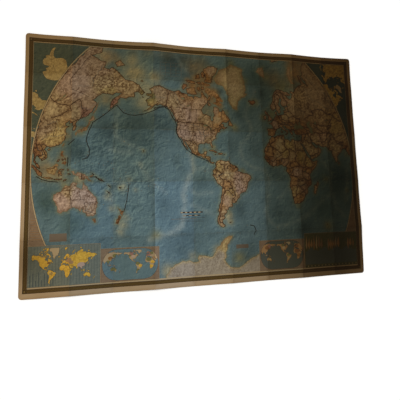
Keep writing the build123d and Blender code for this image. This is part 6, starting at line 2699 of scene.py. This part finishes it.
def printed_side_material(inks, groups):
    """The inks on the mesh, each print's texture, the net, tints with painted light and shade, and the wear.
    """
    material = bpy.data.materials.new("printed_side")
    material.use_nodes = True
    nodes = Nodes(material.node_tree)
    place = nodes.add("ShaderNodeTexCoord").outputs["Object"]
    cover = nodes.add("ShaderNodeSeparateColor", {0: nodes.attribute("cover")}).outputs
    colour = nodes.attribute("ink")
    blocks = nodes.group(groups["blocks"], {"Band": nodes.attribute("band", "Vector")})
    colour = nodes.mix(nodes.math("MULTIPLY", blocks["Block"], BLOCK_STRENGTH), colour, rgba(inks.band_block))
    relief = nodes.attribute("relief", "Fac")
    for kind, amount in (("land", cover[0]), ("sea", cover[1])):
        inputs = {"Colour": colour, "Place": place, "Amount": amount, "Relief": relief}
        colour = nodes.group(groups[kind], inputs)["Colour"]
    inputs = {
        "Net": nodes.attribute("net", "Vector"),
        "Pitch": nodes.attribute("net_pitch", "Vector"),
        "Half Width": NET_HALF_LINE,
    }
    net = nodes.group(groups["net"], inputs)
    line = nodes.math("MULTIPLY", nodes.math("MULTIPLY", net["Line"], cover[2]), NET_STRENGTH)
    colour = nodes.mix(line, colour, rgba(inks.dark, NET_SHADE))
    # Aged tints with painted light and shade, laid over the print and over the bare paper of the worn folds
    tone = nodes.attribute("tone")
    colour = nodes.mix(1.0, colour, tone, "MULTIPLY")
    bare = nodes.mix(1.0, rgba(inks.paper), tone, "MULTIPLY")
    finish_paper(nodes, colour, place, groups, bare, PRINTED_DIRT)
    return material


def plain_side_material(inks, groups):
    """Bare paper with a fine grain, and the same wear."""
    material = bpy.data.materials.new("plain_side")
    material.use_nodes = True
    nodes = Nodes(material.node_tree)
    place = nodes.add("ShaderNodeTexCoord").outputs["Object"]
    grain = nodes.noise(place, scale=300.0, detail=4.0, roughness=0.7)
    colour = nodes.mix(nodes.step(grain, *PLAIN_GRAIN), rgba(inks.back), rgba(inks.back, GRAIN_SHADE))
    finish_paper(nodes, colour, place, groups, rgba(inks.paper), PLAIN_DIRT)
    return material


# The direction that the lamp shines from, and the camera's place and the point that it looks at, in metres
LAMP_FROM = (-0.62, 0.42, 0.72)
CAMERA_PLACE = (-0.3458, -0.1338, 1.1913)
CAMERA_AIM = (-0.0242, 0.0215, 0.0)

# How far the camera is turned about its view, in degrees, and the width of its sensor, in millimetres
CAMERA_TURN = -1.46
SENSOR_WIDTH = 36.0

# The gap under the sheet, in metres, the floor's glow, and the sky's colours as light and as seen directly
FLOOR_GAP = 0.0005
FLOOR_GLOW = 0.22
SKY_LIGHT = (1.0, 0.985, 0.965, 1.0)
SKY_SEEN = (1.0, 1.0, 1.0, 1.0)


def seen_directly(nodes):
    """1 for what the camera, reflections and clear things see, and 0 for other light."""
    path = nodes.add("ShaderNodeLightPath").outputs
    seen = nodes.math("MAXIMUM", path["Is Camera Ray"], path["Is Glossy Ray"])
    return nodes.math("MAXIMUM", seen, path["Is Transmission Ray"])


def make_floor(settings):
    """A wide pale floor. It glows a little where it is seen directly, so that it looks white."""
    floor = bmesh.new()
    bmesh.ops.create_grid(floor, x_segments=1, y_segments=1, size=settings.floor_width / 2)
    mesh = bpy.data.meshes.new("floor")
    floor.to_mesh(mesh)
    floor.free()
    thing = bpy.data.objects.new("floor", mesh)
    thing.location.z = SHEET_LOW.z - FLOOR_GAP
    bpy.context.scene.collection.objects.link(thing)
    material = bpy.data.materials.new("pale_floor")
    material.use_nodes = True
    nodes = Nodes(material.node_tree)
    plain = nodes.add("ShaderNodeBsdfDiffuse", {"Color": rgba(settings.floor)})
    strength = nodes.math("MULTIPLY", seen_directly(nodes), FLOOR_GLOW)
    glow = nodes.add("ShaderNodeEmission", {"Strength": strength})
    both = nodes.add("ShaderNodeAddShader", {0: plain.outputs[0], 1: glow.outputs[0]})
    out = nodes.add("ShaderNodeOutputMaterial")
    nodes.tree.links.new(both.outputs[0], out.inputs["Surface"])
    mesh.materials.append(material)


def make_sky(settings):
    """Even, slightly warm light from all round, which is white where it is seen directly."""
    world = bpy.data.worlds.new("pale_sky")
    world.use_nodes = True
    nodes = Nodes(world.node_tree)
    light = nodes.add("ShaderNodeBackground", {"Color": SKY_LIGHT, "Strength": settings.sky})
    white = nodes.add("ShaderNodeBackground", {"Color": SKY_SEEN, "Strength": 1.0})
    shaders = {0: seen_directly(nodes), 1: light.outputs[0], 2: white.outputs[0]}
    both = nodes.add("ShaderNodeMixShader", shaders)
    out = nodes.add("ShaderNodeOutputWorld")
    nodes.tree.links.new(both.outputs[0], out.inputs["Surface"])
    bpy.context.scene.world = world


def make_lamp(settings):
    lamp = bpy.data.lights.new("soft_lamp", "SUN")
    lamp.energy = settings.lamp
    lamp.angle = settings.lamp_softness
    thing = bpy.data.objects.new("soft_lamp", lamp)
    thing.rotation_mode = "QUATERNION"
    thing.rotation_quaternion = Vector(LAMP_FROM).to_track_quat("Z", "Y")
    bpy.context.scene.collection.objects.link(thing)


def make_camera(settings):
    camera = bpy.data.cameras.new("camera")
    camera.lens = settings.lens
    camera.sensor_width = SENSOR_WIDTH
    camera.shift_y = settings.shift
    thing = bpy.data.objects.new("camera", camera)
    back = (Vector(CAMERA_PLACE) - Vector(CAMERA_AIM)).normalized()
    right = Vector((0.0, 1.0, 0.0)).cross(back).normalized()
    up = back.cross(right)
    turned = Matrix((right, up, back)).transposed() @ Matrix.Rotation(math.radians(CAMERA_TURN), 3, "Z")
    thing.matrix_world = Matrix.Translation(Vector(CAMERA_PLACE)) @ turned.to_4x4()
    bpy.context.scene.collection.objects.link(thing)
    bpy.context.scene.camera = thing


class PAPERMAP_OT_sheet(bpy.types.Operator):
    """Make the printed, folded and opened sheet, on the frame's own shape"""

    bl_idname = "paper_map.sheet"
    bl_label = "Printed Sheet"

    def execute(self, context):
        scene = context.scene
        sizes = scene.map_sheet_sizes
        print_sizes = scene.map_print_sizes
        inks = scene.map_inks
        shape = PaperShape(sizes)
        art = Artwork()
        print_frame(art, print_sizes)
        print_corners(art)
        coasts, borders = print_round_world(art, print_sizes)
        print_world_rim(art, print_sizes)
        print_panels(art, print_sizes)
        mesh, top, top_faces = build_sheet(art, shape, sizes)
        paint_sheet(mesh, art, top, top_faces, coasts, borders, shape, inks, print_sizes)
        groups = {
            "land": land_texture_group(),
            "sea": sea_texture_group(),
            "net": degree_net_group(),
            "blocks": band_blocks_group(),
            "folds": fold_wear_group(sizes),
            "ageing": paper_ageing_group(),
            "surface": paper_surface_group(),
        }
        mesh.materials.append(printed_side_material(inks, groups))
        mesh.materials.append(plain_side_material(inks, groups))
        sides = np.ones(len(mesh.polygons), np.int32)
        sides[: len(top_faces)] = 0
        mesh.polygons.foreach_set("material_index", sides)
        sheet = bpy.data.objects.new("printed_map", mesh)
        scene.collection.objects.link(sheet)
        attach(sheet, "root")
        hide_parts("map_sheet")
        return {"FINISHED"}


class PAPERMAP_OT_stage(bpy.types.Operator):
    """Make the floor, the light and the camera"""

    bl_idname = "paper_map.stage"
    bl_label = "Floor, Light and Camera"

    def execute(self, context):
        settings = context.scene.map_stage
        make_floor(settings)
        make_sky(settings)
        make_lamp(settings)
        make_camera(settings)
        context.scene.view_settings.view_transform = "Standard"
        return {"FINISHED"}


class PAPERMAP_PT_panel(bpy.types.Panel):
    """Lists the sheet, its sizes and inks, and the stage"""

    bl_idname = "PAPERMAP_PT_panel"
    bl_label = "Paper Map"
    bl_space_type = "VIEW_3D"
    bl_region_type = "UI"
    bl_category = "Paper Map"

    def draw(self, context):
        for operator, groups in (
            (PAPERMAP_OT_sheet, ("map_sheet_sizes", "map_print_sizes", "map_inks")),
            (PAPERMAP_OT_stage, ("map_stage",)),
        ):
            box = self.layout.box()
            box.operator(operator.bl_idname)
            for group in groups:
                settings = getattr(context.scene, group)
                for name in settings.__annotations__:
                    box.prop(settings, name)


SETTINGS = {
    "map_sheet_sizes": SheetSizes,
    "map_print_sizes": PrintSizes,
    "map_inks": PrintInks,
    "map_stage": StageSettings,
}
PARTS = (PAPERMAP_OT_sheet, PAPERMAP_OT_stage, PAPERMAP_PT_panel)


def register():
    for part in (*SETTINGS.values(), *PARTS):
        bpy.utils.register_class(part)
    for name, group in SETTINGS.items():
        setattr(bpy.types.Scene, name, bpy.props.PointerProperty(type=group))


def unregister():
    for name in SETTINGS:
        delattr(bpy.types.Scene, name)
    for part in reversed((*SETTINGS.values(), *PARTS)):
        bpy.utils.unregister_class(part)


def main():
    register()
    bpy.ops.paper_map.sheet()
    bpy.ops.paper_map.stage()


if __name__ == "__main__":
    main()
